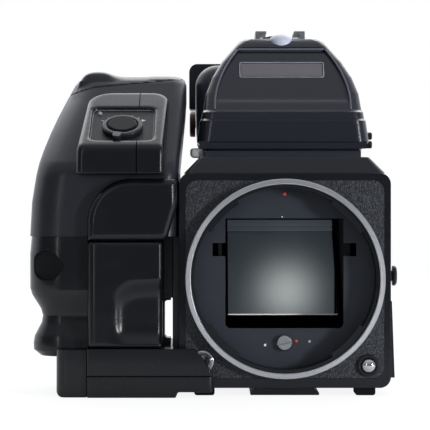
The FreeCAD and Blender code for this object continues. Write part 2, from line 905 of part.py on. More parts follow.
def make_eyecup():
    flare = eyepiece_rod(eyecup_radius, eyepiece_length, eyepiece_length + eyecup_length)
    collar = eyepiece_rod(eyepiece_radius + 1.8, 2.5, eyepiece_length)
    cup = joined(flare, collar)
    cup = cup.cut(eyepiece_rod(eyepiece_radius + seat_gap, 0, eyepiece_length))
    return cup.cut(eyepiece_rod(eyepiece_bore + 1.5, 0, eyepiece_length + eyecup_length + 1))


def make_finder_base():
    half = finder_rail_half_width
    base = block(-half, half, skirt_front + finder_base_set_back, finder_base_back, finder_bottom,
                 skirt_bottom)
    opening = light_half_width - 2
    return base.cut(block(-opening, opening, light_path_front, light_path_back, finder_bottom - 1,
                          skirt_bottom + 1))


def make_display_window():
    pane = rectangle(-display_half_width + seat_gap, display_half_width - seat_gap, display_low + seat_gap,
                     display_high - seat_gap, 1.1)
    return on_slope(prism("xy", pane, -panel_recess - display_depth, -panel_recess - 0.2))


def on_dome_seat(shape):
    return tilted(shape, dome_tilt, 0, slope_top_front + dome_set_back, finder_top - dome_drop)


def make_incident_dome():
    """A shallow dome on a short barrel, tipped forward at the top edge of the front."""
    ball_radius = (dome_radius ** 2 + dome_rise ** 2) / (2 * dome_rise)
    barrel = Part.makeCylinder(dome_radius, 2 * dome_seat_depth, Vector(0, 0, -dome_seat_depth))
    ball = Part.makeSphere(ball_radius, Vector(0, 0, dome_rise - ball_radius))
    return on_dome_seat(barrel.common(ball))


def make_accessory_shoe():
    base_top = finder_top + shoe_base
    slot_top = base_top + shoe_slot
    lip_top = slot_top + shoe_lip
    corners = [(-shoe_half_width, finder_top, 0.2), (shoe_half_width, finder_top, 0.2),
               (shoe_half_width, lip_top, 0.5), (shoe_lip_half_width, lip_top, 0.3),
               (shoe_lip_half_width, slot_top, 0), (shoe_slot_half_width, slot_top, 0),
               (shoe_slot_half_width, base_top, 0), (-shoe_slot_half_width, base_top, 0),
               (-shoe_slot_half_width, slot_top, 0), (-shoe_lip_half_width, slot_top, 0),
               (-shoe_lip_half_width, lip_top, 0.3), (-shoe_half_width, lip_top, 0.5)]
    return prism("xz", corners, shoe_front, shoe_back)


def make_meter_housing():
    corners = [(meter_left + 1.0, skirt_bottom + 1.0, 3), (meter_right, skirt_bottom + 1.0, 0),
               (meter_right, meter_top, 0), (meter_left, meter_top, 3.6), (meter_left, skirt_top, 20)]
    top_view = [(meter_left, meter_front, 4), (meter_right, meter_front, 0), (meter_right, meter_back, 0),
                (meter_left, meter_back, 0)]
    housing = prism("xz", corners, meter_front, meter_back)
    return housing.common(prism("xy", top_view, skirt_bottom, meter_top + 1)).cut(meter_pin_hole())


def meter_pin_hole():
    return rod("x", dial_disc_place, dial_disc_height, dial_pin_radius + running_gap,
               meter_left - dial_disc_thickness, meter_left + 2)


def make_control_frame():
    top = finder_top - control_top_drop
    bottom = top - control_height
    corners = [(control_left, bottom, 1.0), (meter_right, bottom, 0), (meter_right, top, 0),
               (control_left, top, 4.0)]
    return prism("xz", corners, meter_back, control_back)


def make_meter_dial():
    near = meter_left - face_gap
    disc = rod("x", dial_disc_place, dial_disc_height, dial_disc_radius, near - dial_disc_thickness, near)
    disc = bevelled(disc, 0.5, lambda edge: edge.CenterOfMass.x < near - dial_disc_thickness + 0.01)
    pin = rod("x", dial_disc_place, dial_disc_height, dial_pin_radius, near, meter_left + 1.5)
    return joined(disc, pin)


def make_side_button(height):
    inner = skirt_half_width - side_button_root
    outer = skirt_half_width + side_button_proud
    button = rod("x", side_button_place, height, side_button_radius, inner, outer)
    return bevelled(button, 0.4, lambda edge: edge.CenterOfMass.x > outer - 0.01)


def side_button_socket(height):
    return rod("x", side_button_place, height, side_button_radius + running_gap,
               skirt_half_width - side_button_root - 1.2, skirt_half_width + 1)


def make_finder_lug():
    lug = block(lug_left, -finder_rail_half_width, -10, 2, finder_bottom + 0.2, skirt_bottom + 1.2)
    return rounded(lug, 1.2, lambda edge: edge.CenterOfMass.x < lug_left + 0.1)


# Winder grip

column_bottom = arm_top + 0.2
arm_back = body_front - release_proud - arm_clearance
dial_z = hood_front_top + (dial_y - hood_front) * math.tan(math.radians(dial_angle))
gear_centres = gear_module * (pinion_teeth + wheel_teeth) / 2 + gear_backlash
wheel_z = motor_z - gear_centres
gear_left = motor_left + motor_length + motor_boss_length + 0.4


def beside_body(shape):
    """A piece of the winder, carried from its own X to the body's left side."""
    moved = shape.copy()
    moved.translate(Vector(-body_half_width, 0, 0))
    return moved


def grip_section(height, inset):
    """The upper grip's plan at a height: it leans in on the left and slopes back above its shoulder."""
    lean = grip_lean * ((height - shell_top) / (grip_top - shell_top)) ** 2
    above = max(0.0, height - grip_shoulder)
    rise = above / (grip_top - grip_shoulder)
    left = grip_left + lean + inset
    right = grip_right_low + (grip_right_high - grip_right_low) * min(1.0, 1.5 * rise) - inset
    front = grip_front + grip_slope_run * rise + inset
    back = grip_back - inset
    depth = back - front
    front_corner = min(grip_front_corner, 0.55 * depth)
    back_corner = min(grip_back_corner, 0.4 * depth)
    right_corner = min(grip_right_corner, 0.5 * depth)
    corners = [(left, front, front_corner), (right, front, right_corner), (right, back, back_corner),
               (left, back, back_corner)]
    return outline("xy", corners, height)


def make_grip_blank():
    """The upper grip with its rounded crown and the raised pad at its top left."""
    eaves = grip_top - crown_height
    heights = [shell_top, (shell_top + grip_shoulder) / 2]
    heights += [grip_shoulder + (eaves - grip_shoulder) * step / 5 for step in range(6)]
    sections = [grip_section(height, 0.0) for height in heights]
    sections.append(grip_section(grip_top - 0.35 * crown_height, 0.25 * crown_height))
    sections.append(grip_section(grip_top, 0.9 * crown_height))
    blank = Part.makeLoft(sections, True, True)
    bump_view = [(bump_left, eaves - 2, 0), (bump_right + 3, eaves - 2, 0),
                 (bump_right - 1, grip_top + bump_height, 2), (bump_left + 3, grip_top + bump_height, 4)]
    front = grip_front + grip_slope_run - 2
    bump = prism("xz", bump_view, front, grip_back - 5)
    bump_plan = prism("xy", rectangle(bump_left - 1, bump_right + 4, front, grip_back - 5, 5), eaves - 3,
                      grip_top + bump_height + 1)
    return blank.fuse(bump.common(bump_plan))


cap_plane = [(grip_left - 4, cap_seam_left, 0), (grip_seam, cap_seam_middle, 0), (6, cap_seam_right, 0),
             (6, grip_top + 20, 0), (grip_left - 4, grip_top + 20, 0)]
cap_depth = (grip_front - 20, grip_back + 20)


def motor_bay():
    """The hollow in the grip that holds the motor and its gears, with a corner off below the slope."""
    corner = bay_top - bay_slant
    corners = [(bay_front, bay_bottom, 0), (bay_back, bay_bottom, 0), (bay_back, bay_top, 0),
               (bay_front + bay_slant, bay_top, 0), (bay_front, corner, 0)]
    return prism("yz", corners, bay_left, bay_right)


def strap_room(low, high):
    """The step down the grip's rear left that the hand strap lies in."""
    return block(grip_left - 5, strap_recess, strap_recess_front, grip_back + 1, low, high)


palm_view = [(grip_seam, palm_bottom, 0), (column_right + 2, palm_bottom, 4),
             (palm_right, palm_bottom + 16, 14), (palm_right - 0.3, palm_top, 2),
             (grip_seam, palm_top, palm_corner)]


def make_grip_housing():
    housing = make_grip_blank().cut(prism("xz", cap_plane, *cap_depth))
    housing = housing.cut(prism("xz", palm_view, palm_front - 5, palm_back))
    housing = housing.cut(strap_room(shell_top - 1, cap_seam_left))
    housing = housing.cut(motor_bay()).cut(plate_room()).cut(button_well())
    return housing.cut(rod("x", motor_y, wheel_z, coupling_radius + running_gap, bay_right - 1,
                           grip_right_high + 1))


def make_grip_cap():
    return make_grip_blank().common(prism("xz", cap_plane, *cap_depth))


def make_palm_panel():
    panel = prism("xz", palm_view, palm_front, palm_back)
    return rounded(panel, palm_edge, lambda edge: abs(edge.CenterOfMass.y - palm_front) < 0.01
                   and edge.CenterOfMass.x < palm_right - 5 and edge.CenterOfMass.z > palm_bottom + 0.5)


def make_grip_column():
    """The column under the palm panel, with a scooped pocket for the fingers low on its front."""
    top_view = [(grip_seam, column_front, column_edge), (column_right, column_front, 1.5),
                (column_right, 14, 6), (column_right - 7, base_back, 6), (grip_seam, base_back, 0)]
    column = prism("xy", top_view, column_bottom, shell_top)
    palm_seat = block(grip_seam - 1, 0, palm_front - 5, palm_back + face_gap, palm_bottom - face_gap,
                      shell_top + 1)
    pocket_floor = column_front + pocket_depth
    pocket_view = [(pocket_left, pocket_bottom, 5), (column_right + 8, pocket_bottom, 0),
                   (column_right + 8, pocket_top + 1.5, 0), (pocket_left, pocket_top, 8)]
    pocket = prism("xz", pocket_view, column_front - 5, pocket_floor)
    pocket = rounded(pocket, pocket_round, lambda edge: abs(edge.CenterOfMass.y - pocket_floor) < 0.01
                     and edge.CenterOfMass.x < column_right + 7)
    return column.cut(palm_seat).cut(pocket)


def shell_section(height, inset):
    """The lower grip's plan at a height, drawn in at its left and front."""
    corners = [(grip_left + inset, grip_front + 0.7 * inset, grip_front_corner - inset),
               (grip_seam, grip_front + 0.7 * inset, 0), (grip_seam, grip_back, 0),
               (grip_left + inset, grip_back, grip_back_corner)]
    return outline("xy", corners, height)


def make_grip_shell():
    """The lower left of the grip: a lip at the bottom, a waist that runs round the front, a socket."""
    sections = [shell_section(shell_bottom, shell_bottom_inset), shell_section(shell_edge, shell_edge_inset)]
    steps = 8
    for step in range(steps + 1):
        share = step / steps
        height = waist_bottom + (waist_top - waist_bottom) * share
        inset = 1.5 * (1 - share) + waist_depth * math.sin(math.pi * share) ** 2
        sections.append(shell_section(height, inset))
    sections.append(shell_section((waist_top + 2 * shell_top) / 3, 0.0))
    sections.append(shell_section(shell_top, shell_top_inset))
    shell = Part.makeLoft(sections, True, True)
    socket_corners = [(-63.5, 50.3, 5), (-54.0, 50.0, 4.5), (-48.8, 56.5, 2.5), (-55.5, 63.6, 4.5),
                      (-63.5, 62.5, 5)]
    socket = prism("xz", socket_corners, grip_front - 5, socket_back)
    return shell.cut(cassette_bay()).cut(socket).cut(strap_room(shell_bottom - 1, shell_top + 1))


def cassette_bay():
    half = cell_radius + 1.0
    reach = (cell_count - 1) / 2 * cell_spacing + cell_radius + 1.2
    return block(cell_place - half, cell_place + half, cell_middle - reach, cell_middle + reach,
                 shell_bottom - 1, shell_bottom + cell_length + 0.6)


def make_battery_cassette():
    right = grip_seam - face_gap
    cap_view = [(cassette_left, 0, 3), (right, 0, 0), (right, cassette_top, 0),
                (cassette_left, cassette_top, 1)]
    cap = prism("xz", cap_view, cassette_front, base_back)
    cap = joined(cap, block(cassette_left, right, cassette_front, grip_front - face_gap, cassette_top - 1,
                            cassette_lip_top))
    cap = cap.common(prism("xy", rectangle(cassette_left, right + 20, cassette_front, base_back, 5), -1, 30))
    reach = (cell_count - 1) / 2 * cell_spacing + cell_radius
    spine = block(cell_place + cell_radius + 0.1, cell_place + cell_radius + 0.7, cell_middle - reach,
                  cell_middle + reach, cassette_top - 1, shell_bottom + cell_length)
    return joined(cap, spine)


def make_battery_cells():
    cells = []
    for index in range(cell_count):
        y = cell_middle + (index - (cell_count - 1) / 2) * cell_spacing
        bottom = cassette_top + 0.1
        can = rod("z", cell_place, y, cell_radius, bottom, bottom + cell_length - 1.5)
        nub = rod("z", cell_place, y, 2.6, bottom + cell_length - 1.5, bottom + cell_length - 0.3)
        cells.append(joined(can, nub))
    return group(*cells)


def make_web_plate():
    plate = block(web_left, -seat_gap, web_front, web_back, body_bottom, shell_top)
    bridge = block(column_right, web_left, web_front + 4, 9, web_bridge_bottom, shell_top)
    return joined(plate, bridge)


arm_top_view = [(grip_seam, arm_front, 1), (arm_right, arm_front, 2), (arm_right, arm_back, 1),
                (-face_gap, arm_back, 0), (-face_gap, base_back, 0), (grip_seam, base_back, 0)]


def make_base_arm():
    """The arm with the cover screwed on under it."""
    arm_view = [(grip_seam, arm_seam + 0.1, 0), (arm_right, arm_seam + 0.1, 0),
                (arm_right, arm_top - arm_chamfer_height, 1), (arm_right - arm_chamfer_side, arm_top, 1),
                (grip_seam, arm_top, 0)]
    cover_view = [(grip_seam, 0, 0), (arm_right - 16, 0, 0), (arm_right - 15, arm_step, 0),
                  (arm_right, arm_step, 1.5), (arm_right, arm_seam, 0), (grip_seam, arm_seam, 0)]
    web_room = block(web_left - seat_gap, web_left + 50, web_front - seat_gap, base_back + 20, -1,
                     arm_top + 40)
    plan = prism("xy", arm_top_view, -1, arm_top + 20)
    return group(*[prism("xz", view, arm_front - 10, base_back + 20).common(plan).cut(web_room)
                   for view in (arm_view, cover_view)])


def make_hood_blank():
    """The raised pad round the dial: square to the slope at its sides, upright at its front."""
    slant = math.cos(math.radians(dial_angle))
    ahead = (hood_front - dial_y) / slant - 15
    back = (hood_back - dial_y) / slant
    corners = [(hood_left - dial_x, ahead, 0), (hood_right - dial_x - 1.8, ahead, 0),
               (hood_right - dial_x, back, 7), (hood_left - dial_x + 3.4, back, 10)]
    hood = on_dial(prism("xy", corners, -40, 0))
    hood = hood.common(block(hood_left - 10, hood_right + 10, hood_front, hood_back + 30, hood_bottom,
                             grip_top + 20))

    def crest(edge):
        middle = edge.CenterOfMass
        level = hood_front_top + (middle.y - hood_front) * math.tan(math.radians(dial_angle))
        on_top = abs(middle.z - level) < 0.05
        upright = abs(middle.y - hood_front) < 0.05 and middle.z > hood_bottom + 1
        return on_top or upright

    return rounded(hood, hood_edge, crest)


def make_dial_hood():
    """The hood in its two parts, with a fine seam between them."""
    hood = make_hood_blank().cut(plate_room()).cut(button_well()).cut(make_grip_blank())
    far = 200
    left = block(-far, hood_seam - 0.1, -far, far, 0, far)
    right = block(hood_seam + 0.1, far, -far, far, 0, far)
    return group(hood.common(left), hood.common(right))


def on_dial(shape):
    return tilted(shape, dial_angle, dial_x, dial_y, dial_z)


def plate_room():
    """The recess that the dial plate lies in."""
    corners = rectangle(-plate_half_width, plate_half_width, plate_low, plate_high, 3.0)
    return on_dial(prism("xy", corners, -plate_depth, 10))


def button_well():
    well_floor = -plate_depth - button_root - winder_button_travel - 0.4
    return on_dial(Part.makeCylinder(winder_button_radius + running_gap, 8, Vector(0, 0, well_floor)))


def make_dial_plate():
    corners = rectangle(-plate_half_width + seat_gap, plate_half_width - seat_gap, plate_low + seat_gap,
                        plate_high - seat_gap, 2.9)
    plate = prism("xy", corners, -plate_depth, -plate_depth + plate_thickness)
    plate = plate.cut(Part.makeCylinder(winder_button_radius + running_gap, 9, Vector(0, 0, -5)))
    return on_dial(plate)


def make_mode_ring():
    bottom = -plate_depth + plate_thickness + 0.1
    ring = Part.makeCylinder(ring_radius, ring_height, Vector(0, 0, bottom))
    ring = bevelled(ring, 0.6, lambda edge: edge.CenterOfMass.z > bottom + ring_height - 0.01)
    lever_corners = [(-1.7, -ring_radius - ring_lever, 1.2), (1.7, -ring_radius - ring_lever, 1.2),
                     (1.9, -ring_radius + 1.5, 0), (-1.9, -ring_radius + 1.5, 0)]
    lever = prism("xy", lever_corners, bottom, bottom + ring_height + 0.4)
    ring = joined(ring, lever)
    ring = ring.cut(Part.makeCylinder(ring_bore, 10, Vector(0, 0, -5)))
    ring.rotate(Vector(0, 0, 0), Vector(0, 0, 1), -12)
    return on_dial(ring)


def make_winder_button():
    top = -plate_depth + plate_thickness + winder_button_height
    root = -plate_depth - button_root
    button = Part.makeCylinder(winder_button_radius, top - root, Vector(0, 0, root))
    button = bevelled(button, 0.8, lambda edge: edge.CenterOfMass.z > top - 0.01)
    return on_dial(button)


def gear(teeth, width, phase):
    """A spur gear about Z with tapered teeth."""
    pitch = gear_module * teeth / 2
    tip = pitch + 0.9 * gear_module
    root = pitch - 1.15 * gear_module
    half_tip = 0.17 * gear_module * math.pi
    half_root = 0.30 * gear_module * math.pi
    body = Part.makeCylinder(root, width)
    cutters = []
    for index in range(teeth):
        turn = math.degrees(2 * math.pi * index / teeth) + phase
        corners = [(root - 0.4, -half_root, 0), (tip, -half_tip, 0), (tip, half_tip, 0),
                   (root - 0.4, half_root, 0)]
        tooth = prism("xy", corners, 0, width)
        tooth.rotate(Vector(0, 0, 0), Vector(0, 0, 1), turn)
        cutters.append(tooth)
    return joined(body, *cutters)


def make_motor():
    can = rod("x", motor_y, motor_z, motor_radius, motor_left, motor_left + motor_length)
    boss = rod("x", motor_y, motor_z, motor_boss_radius, motor_left + motor_length,
               motor_left + motor_length + motor_boss_length)
    return joined(can, boss)


def placed_gear(teeth, phase, y, z, left):
    wheel = gear(teeth, gear_width, phase)
    wheel.rotate(Vector(0, 0, 0), Vector(0, 1, 0), 90)
    wheel.translate(Vector(left, y, z))
    return wheel


def make_motor_pinion():
    pinion = placed_gear(pinion_teeth, 0, motor_y, motor_z, gear_left)
    return joined(pinion, rod("x", motor_y, motor_z, pinion_bore_radius, gear_left,
                              gear_left + gear_width + 0.6))


def make_drive_gear():
    wheel = placed_gear(wheel_teeth, 180 / wheel_teeth, motor_y, wheel_z, gear_left)
    wheel = joined(wheel, rod("x", motor_y, wheel_z, coupling_radius, gear_left, drive_shaft_end))
    slot_half = tongue_width / 2 + tongue_slack
    reach = coupling_radius + 2
    return wheel.cut(block(drive_shaft_end - tongue_length - 0.4, drive_shaft_end + 1,
                           motor_y - slot_half, motor_y + slot_half, wheel_z - reach, wheel_z + reach))


def make_wind_shaft():
    """The shaft in the body's side that the winder's drive gear turns through a tongue."""
    side = -body_half_width
    shaft = rod("x", motor_y, wheel_z, wind_shaft_radius, side, side + wind_shaft_length)
    collar_left = side + body_wall + face_gap
    collar = rod("x", motor_y, wheel_z, wind_collar_radius, collar_left, collar_left + wind_collar_thickness)
    half = wind_shaft_radius - 0.6
    tongue = block(side + drive_shaft_end - tongue_length, side + 1, motor_y - tongue_width / 2,
                   motor_y + tongue_width / 2, wheel_z - half, wheel_z + half)
    return joined(shaft, collar, tongue)


def make_hand_strap():
    near = strap_recess + 0.6
    outer = [(near, strap_top, 0), (strap_left, strap_top - 20, strap_bend),
             (strap_left, strap_bottom + 18, strap_bend), (near, strap_bottom, 0)]
    inner = [(u + strap_thickness, v, radius) for u, v, radius in reversed(outer)]
    strap = prism("xz", outer + inner, strap_front, strap_back)
    strap = strap.cut(make_grip_blank().cut(strap_room(shell_top - 1, cap_seam_left))).cut(make_grip_shell())
    return max(strap.Solids, key=lambda solid: solid.Volume)


# Film magazine

magazine_front = body_back + face_gap
magazine_half_width = body_half_width - magazine_margin


def make_magazine_shell():
    top_view = [(-magazine_half_width, magazine_front, 1), (magazine_half_width, magazine_front, 1),
                (magazine_half_width, magazine_back, magazine_corner),
                (-magazine_half_width, magazine_back, magazine_corner)]
    side_view = [(magazine_front, magazine_bottom, 1), (magazine_back, magazine_bottom + 4, 8),
                 (magazine_back, magazine_top - 6, 12), (magazine_front, magazine_top, 1)]
    front_view = rectangle(-magazine_half_width, magazine_half_width, magazine_bottom, magazine_top, 4)
    shell = prism("xy", top_view, 0, magazine_top + 1)
    shell = shell.common(prism("yz", side_view, -body_half_width, body_half_width))
    shell = shell.common(prism("xz", front_view, body_back, magazine_back + 1))
    shell = shell.cut(block(-cavity_half_width, cavity_half_width, magazine_front + gate_thickness,
                            cavity_back, cavity_bottom, cavity_top))
    shell = shell.cut(block(-gate_half, gate_half, magazine_front - 1, magazine_front + 5,
                            lens_axis_height - gate_half, lens_axis_height + gate_half))
    return shell.cut(rod("x", spool_y, spool_high, crank_shaft_radius + running_gap,
                         -magazine_half_width - 1, -cavity_half_width + 1))


def make_film_insert():
    plate_front = magazine_front + gate_thickness + film_gap + pressure_thickness
    half = cavity_half_width - 0.2
    low = cavity_bottom + 0.3
    high = cavity_top - 0.3
    plate = block(-half, half, plate_front, plate_front + cheek_thickness, low, high)
    cheeks = [block(side, side + cheek_thickness, plate_front, cavity_back - 1, low, high)
              for side in (-half, half - cheek_thickness)]
    front = magazine_front + gate_thickness + film_gap
    pressure = block(-pressure_half_width, pressure_half_width, front, plate_front,
                     lens_axis_height - pressure_half_height, lens_axis_height + pressure_half_height)
    insert = joined(plate, pressure, *cheeks)
    for height in (spool_low, spool_high):
        insert = insert.cut(rod("x", spool_y, height, spool_pin + running_gap, -body_half_width,
                                body_half_width))
    return insert


def make_spool(height, core):
    half = cavity_half_width - 0.2 - cheek_thickness - 0.3
    flanges = [rod("x", spool_y, height, spool_radius, side, side + 1.2) for side in (-half, half - 1.2)]
    middle = rod("x", spool_y, height, core, -half, half)
    pins = rod("x", spool_y, height, spool_pin, -half - cheek_thickness, half + cheek_thickness)
    return joined(middle, pins, *flanges)


def make_film_crank():
    outer = -magazine_half_width - face_gap
    disc = rod("x", spool_y, spool_high, crank_radius, outer - crank_thickness, outer)
    disc = bevelled(disc, 0.6, lambda edge: edge.CenterOfMass.x < outer - crank_thickness + 0.01)
    shaft = rod("x", spool_y, spool_high, crank_shaft_radius, outer, -cavity_half_width + 0.2)
    face = outer - crank_thickness
    arm = block(face - crank_arm_thickness, face + 0.2, spool_y - crank_arm_half_width,
                spool_y + crank_arm_half_width, spool_high - crank_arm_reach, spool_high + crank_arm_tail)
    knob = rod("x", spool_y, spool_high - crank_knob_offset, crank_knob_radius, face - crank_knob_length,
               face + 0.1)
    return joined(disc, shaft, arm, knob)


def build():
    os.makedirs("parts", exist_ok=True)
    housing = make_prism_housing()
    meter = make_meter_housing().cut(make_finder_hull()).cut(housing)
    save("prism_housing", housing)
    save("meter_housing", meter)
    save("control_frame", make_control_frame().cut(housing).cut(meter))
    save("body_shell", make_body_shell())
    save("front_covering", make_front_covering())
    save("side_covering", make_side_covering())
    save("mount_ring", make_mount_ring())
    save("bayonet_ring", make_bayonet_ring())
    save("throat_plate", make_throat_plate())
    save("mirror_box", make_mirror_box())
    save("mirror_glass", make_mirror_glass())
    save("mirror_frame", make_mirror_frame())
    middle = (flap_upper_axis + flap_lower_axis) / 2
    save("light_flap_upper", make_light_flap(flap_upper_axis, middle + 0.2, flap_upper_axis))
    save("light_flap_lower", make_light_flap(flap_lower_axis, flap_lower_axis, middle - 0.2))
    save("screen_frame", make_screen_frame())
    save("focusing_screen", make_focusing_screen())
    save("drive_shaft", make_drive_shaft())
    save("wind_shaft", make_wind_shaft())
    collars = [make_button_collar(-release_offset, release_height, release_collar_radius, release_radius),
               make_button_collar(lens_release_offset, lens_release_height, release_collar_radius,
                                  lens_release_radius)]
    save("button_collars", group(*collars))
    save("release_button", make_release_button())
    save("lens_release_button", make_lens_release_button())
    save("top_cover", make_top_cover())
    save("tripod_plate", make_tripod_plate())
    save("body_feet", make_body_feet())
    save("strap_stud", make_strap_stud())
    save("accessory_rail", make_accessory_rail())
    save("finder_base", make_finder_base())
    save("finder_prism", prism_cavity(0.0))
    save("display_window", make_display_window())
    save("incident_dome", make_incident_dome())
    save("accessory_shoe", make_accessory_shoe())
    save("eyepiece_tube", make_eyepiece_tube())
    save("eyepiece_lens", make_eyepiece_lens())
    save("eyecup", make_eyecup())
    save("meter_dial", make_meter_dial())
    save("upper_side_button", make_side_button(side_button_heights[0]))
    save("lower_side_button", make_side_button(side_button_heights[1]))
    save("finder_lug", make_finder_lug().cut(housing))
    save("grip_housing", beside_body(make_grip_housing()))
    save("grip_cap", beside_body(make_grip_cap()))
    save("palm_panel", beside_body(make_palm_panel()))
    save("grip_column", beside_body(make_grip_column()))
    save("grip_shell", beside_body(make_grip_shell()))
    save("battery_cassette", beside_body(make_battery_cassette()))
    save("battery_cells", beside_body(make_battery_cells()))
    save("web_plate", beside_body(make_web_plate()))
    save("base_arm", beside_body(make_base_arm()))
    save("dial_hood", beside_body(make_dial_hood()))
    save("dial_plate", beside_body(make_dial_plate()))
    save("mode_ring", beside_body(make_mode_ring()))
    save("winder_button", beside_body(make_winder_button()))
    save("motor", beside_body(make_motor()))
    save("motor_pinion", beside_body(make_motor_pinion()))
    save("drive_gear", beside_body(make_drive_gear()))
    save("hand_strap", beside_body(make_hand_strap()))
    save("magazine_shell", make_magazine_shell())
    save("film_insert", make_film_insert())
    save("feed_spool", make_spool(spool_low, film_roll_radius))
    save("takeup_spool", make_spool(spool_high, spool_core))
    save("film_crank", make_film_crank())


build()
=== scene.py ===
import json
import math

import bmesh
import bpy
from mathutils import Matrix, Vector


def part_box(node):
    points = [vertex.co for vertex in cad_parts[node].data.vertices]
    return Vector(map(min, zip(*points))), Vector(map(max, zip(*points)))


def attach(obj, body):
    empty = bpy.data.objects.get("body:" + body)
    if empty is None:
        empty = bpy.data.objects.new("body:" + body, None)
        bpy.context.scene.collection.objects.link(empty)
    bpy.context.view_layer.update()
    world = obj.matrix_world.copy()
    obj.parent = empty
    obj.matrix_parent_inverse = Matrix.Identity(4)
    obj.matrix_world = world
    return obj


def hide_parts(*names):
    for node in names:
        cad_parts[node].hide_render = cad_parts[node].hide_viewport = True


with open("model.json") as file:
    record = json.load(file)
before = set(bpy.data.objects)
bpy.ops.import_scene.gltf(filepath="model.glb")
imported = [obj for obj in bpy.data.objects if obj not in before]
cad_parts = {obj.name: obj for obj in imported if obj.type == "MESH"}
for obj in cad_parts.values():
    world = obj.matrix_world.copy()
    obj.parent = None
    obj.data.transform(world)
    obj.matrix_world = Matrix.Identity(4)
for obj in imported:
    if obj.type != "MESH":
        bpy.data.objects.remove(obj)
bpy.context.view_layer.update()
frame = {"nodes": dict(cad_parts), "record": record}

MM = 0.001

# Places and sizes that the source of the solids gives, in millimetres and degrees
LENS_AXIS = (0, 50.9)  # X and Z
BODY_FRONT = 36.0  # how far ahead of the origin it stands
THROAT_PLATE = -29.0  # the Y of its face
MIRROR_AXLE = (0, 28.9, 74.0)
MIRROR_TILT = 45
SLOPE_FOOT = (0, -12.6, 125.6)
SLOPE_TOP = (0, 6.0, 156.5)
SLOPE_ANGLE = math.degrees(math.atan2(SLOPE_TOP[2] - SLOPE_FOOT[2], SLOPE_TOP[1] - SLOPE_FOOT[1]))
SLOPE_HALF_WIDTHS = (35.6, 20.7)  # at the foot and at the top
SLOPE_LENGTH = 36.07
SLOPE_BULGE = 3.6  # how far the sides bow outwards at half height
WINDOW_PLACE = (0, 23.01, -1.38)  # on the slope
DIAL = (-70.7, -33.6, 117.3105)
DIAL_ANGLE = 32.0
DIAL_PLATE_TOP = -1.4
BUTTON_SEAT = 32.2  # where the front buttons start, ahead of the origin

# The camera: level, at the height of the body's middle, as in the photograph
CAMERA_PLACE = (-30.4, -786, 78.5)
FOCAL_LENGTH = 144.67
SENSOR_WIDTH = 36.0

camera_data = bpy.data.cameras.new("camera")
camera_data.sensor_width = SENSOR_WIDTH
camera_data.lens = FOCAL_LENGTH
camera = bpy.data.objects.new("camera", camera_data)
camera.location = [value * MM for value in CAMERA_PLACE]
camera.rotation_euler = (math.radians(90), 0, 0)
bpy.context.scene.collection.objects.link(camera)
bpy.context.scene.camera = camera


# Materials

# The sockets that the Mix node uses for colours
FACTOR, FIRST, SECOND, MIXED = 0, 6, 7, 2


def colour(text):
    """An sRGB hex colour as the linear values that Blender takes."""
    parts = [int(text[start:start + 2], 16) / 255 for start in (0, 2, 4)]
    return [p / 12.92 if p <= 0.04045 else ((p + 0.055) / 1.055) ** 2.4 for p in parts] + [1.0]


def add(tree, kind, settings=None, links=None):
    """Adds a node, sets its properties or sockets, and links its inputs."""
    made = tree.nodes.new("ShaderNode" + kind)
    for key, value in (settings or {}).items():
        if isinstance(key, int) or key in made.inputs:
            made.inputs[key].default_value = value
        else:
            setattr(made, key, value)
    for key, source in (links or {}).items():
        tree.links.new(source, made.inputs[key])
    return made


def blend(tree, first, second, factor):
    """Goes from one linear colour to another with a factor."""
    made = add(tree, "Mix", {"data_type": "RGBA", FIRST: first, SECOND: second}, {FACTOR: factor})
    return made.outputs[MIXED]


def noise(tree, place, size, detail):
    """A noise pattern with features of about a size in mm."""
    made = add(tree, "TexNoise", {"Scale": 1 / (size * MM), "Detail": detail}, {"Vector": place})
    return made.outputs[0]


def relief(tree, height, depth, **settings):
    """Gives the surface a relief of a depth in mm."""
    made = add(tree, "Bump", {"Strength": 1.0, "Distance": depth * MM, **settings},
               {"Height": height})
    tree.links.new(made.outputs[0], tree.nodes["Principled BSDF"].inputs["Normal"])


def distance(tree, place, centre, across):
    """How far a place lies from a centre in mm, measured only along the axes that are 1."""
    moved = add(tree, "VectorMath", {"operation": "SUBTRACT", 1: [value * MM for value in centre]},
                {0: place})
    flat = add(tree, "VectorMath", {"operation": "MULTIPLY", 1: across}, {0: moved.outputs[0]})
    return add(tree, "VectorMath", {"operation": "LENGTH"}, {0: flat.outputs[0]}).outputs["Value"]


def finish(name, base, roughness, metallic=0.0, mottle=None, patchy=None, bump=None, **sockets):
    """A material from its colour and roughness. Mottle holds a second colour, patchy a second
    roughness and bump a depth in mm, each with the size in mm of its pattern."""
    material = bpy.data.materials.new(name)
    material.use_nodes = True
    tree = material.node_tree
    shader = tree.nodes["Principled BSDF"]
    shader.inputs["Base Color"].default_value = colour(base)
    shader.inputs["Roughness"].default_value = roughness
    shader.inputs["Metallic"].default_value = metallic
    for key, value in sockets.items():
        shader.inputs[key.replace("_", " ")].default_value = value
    place = add(tree, "TexCoord").outputs["Object"]
    if mottle:
        other, size = mottle
        mixed = blend(tree, colour(base), colour(other), noise(tree, place, size, 3.0))
        tree.links.new(mixed, shader.inputs["Base Color"])
    if patchy:
        other, size = patchy
        spread = add(tree, "MapRange", {"From Min": 0.3, "From Max": 0.7, "To Min": roughness,
                                        "To Max": other}, {"Value": noise(tree, place, size, 4.0)})
        tree.links.new(spread.outputs[0], shader.inputs["Roughness"])
    if bump:
        depth, size = bump
        relief(tree, noise(tree, place, size, 2.0), depth)
    return material


def parts_of(material):
    """A material's node tree, its shader and its Object coordinates."""
    tree = material.node_tree
    return (tree, tree.nodes["Principled BSDF"],
            tree.nodes["Texture Coordinate"].outputs["Object"])


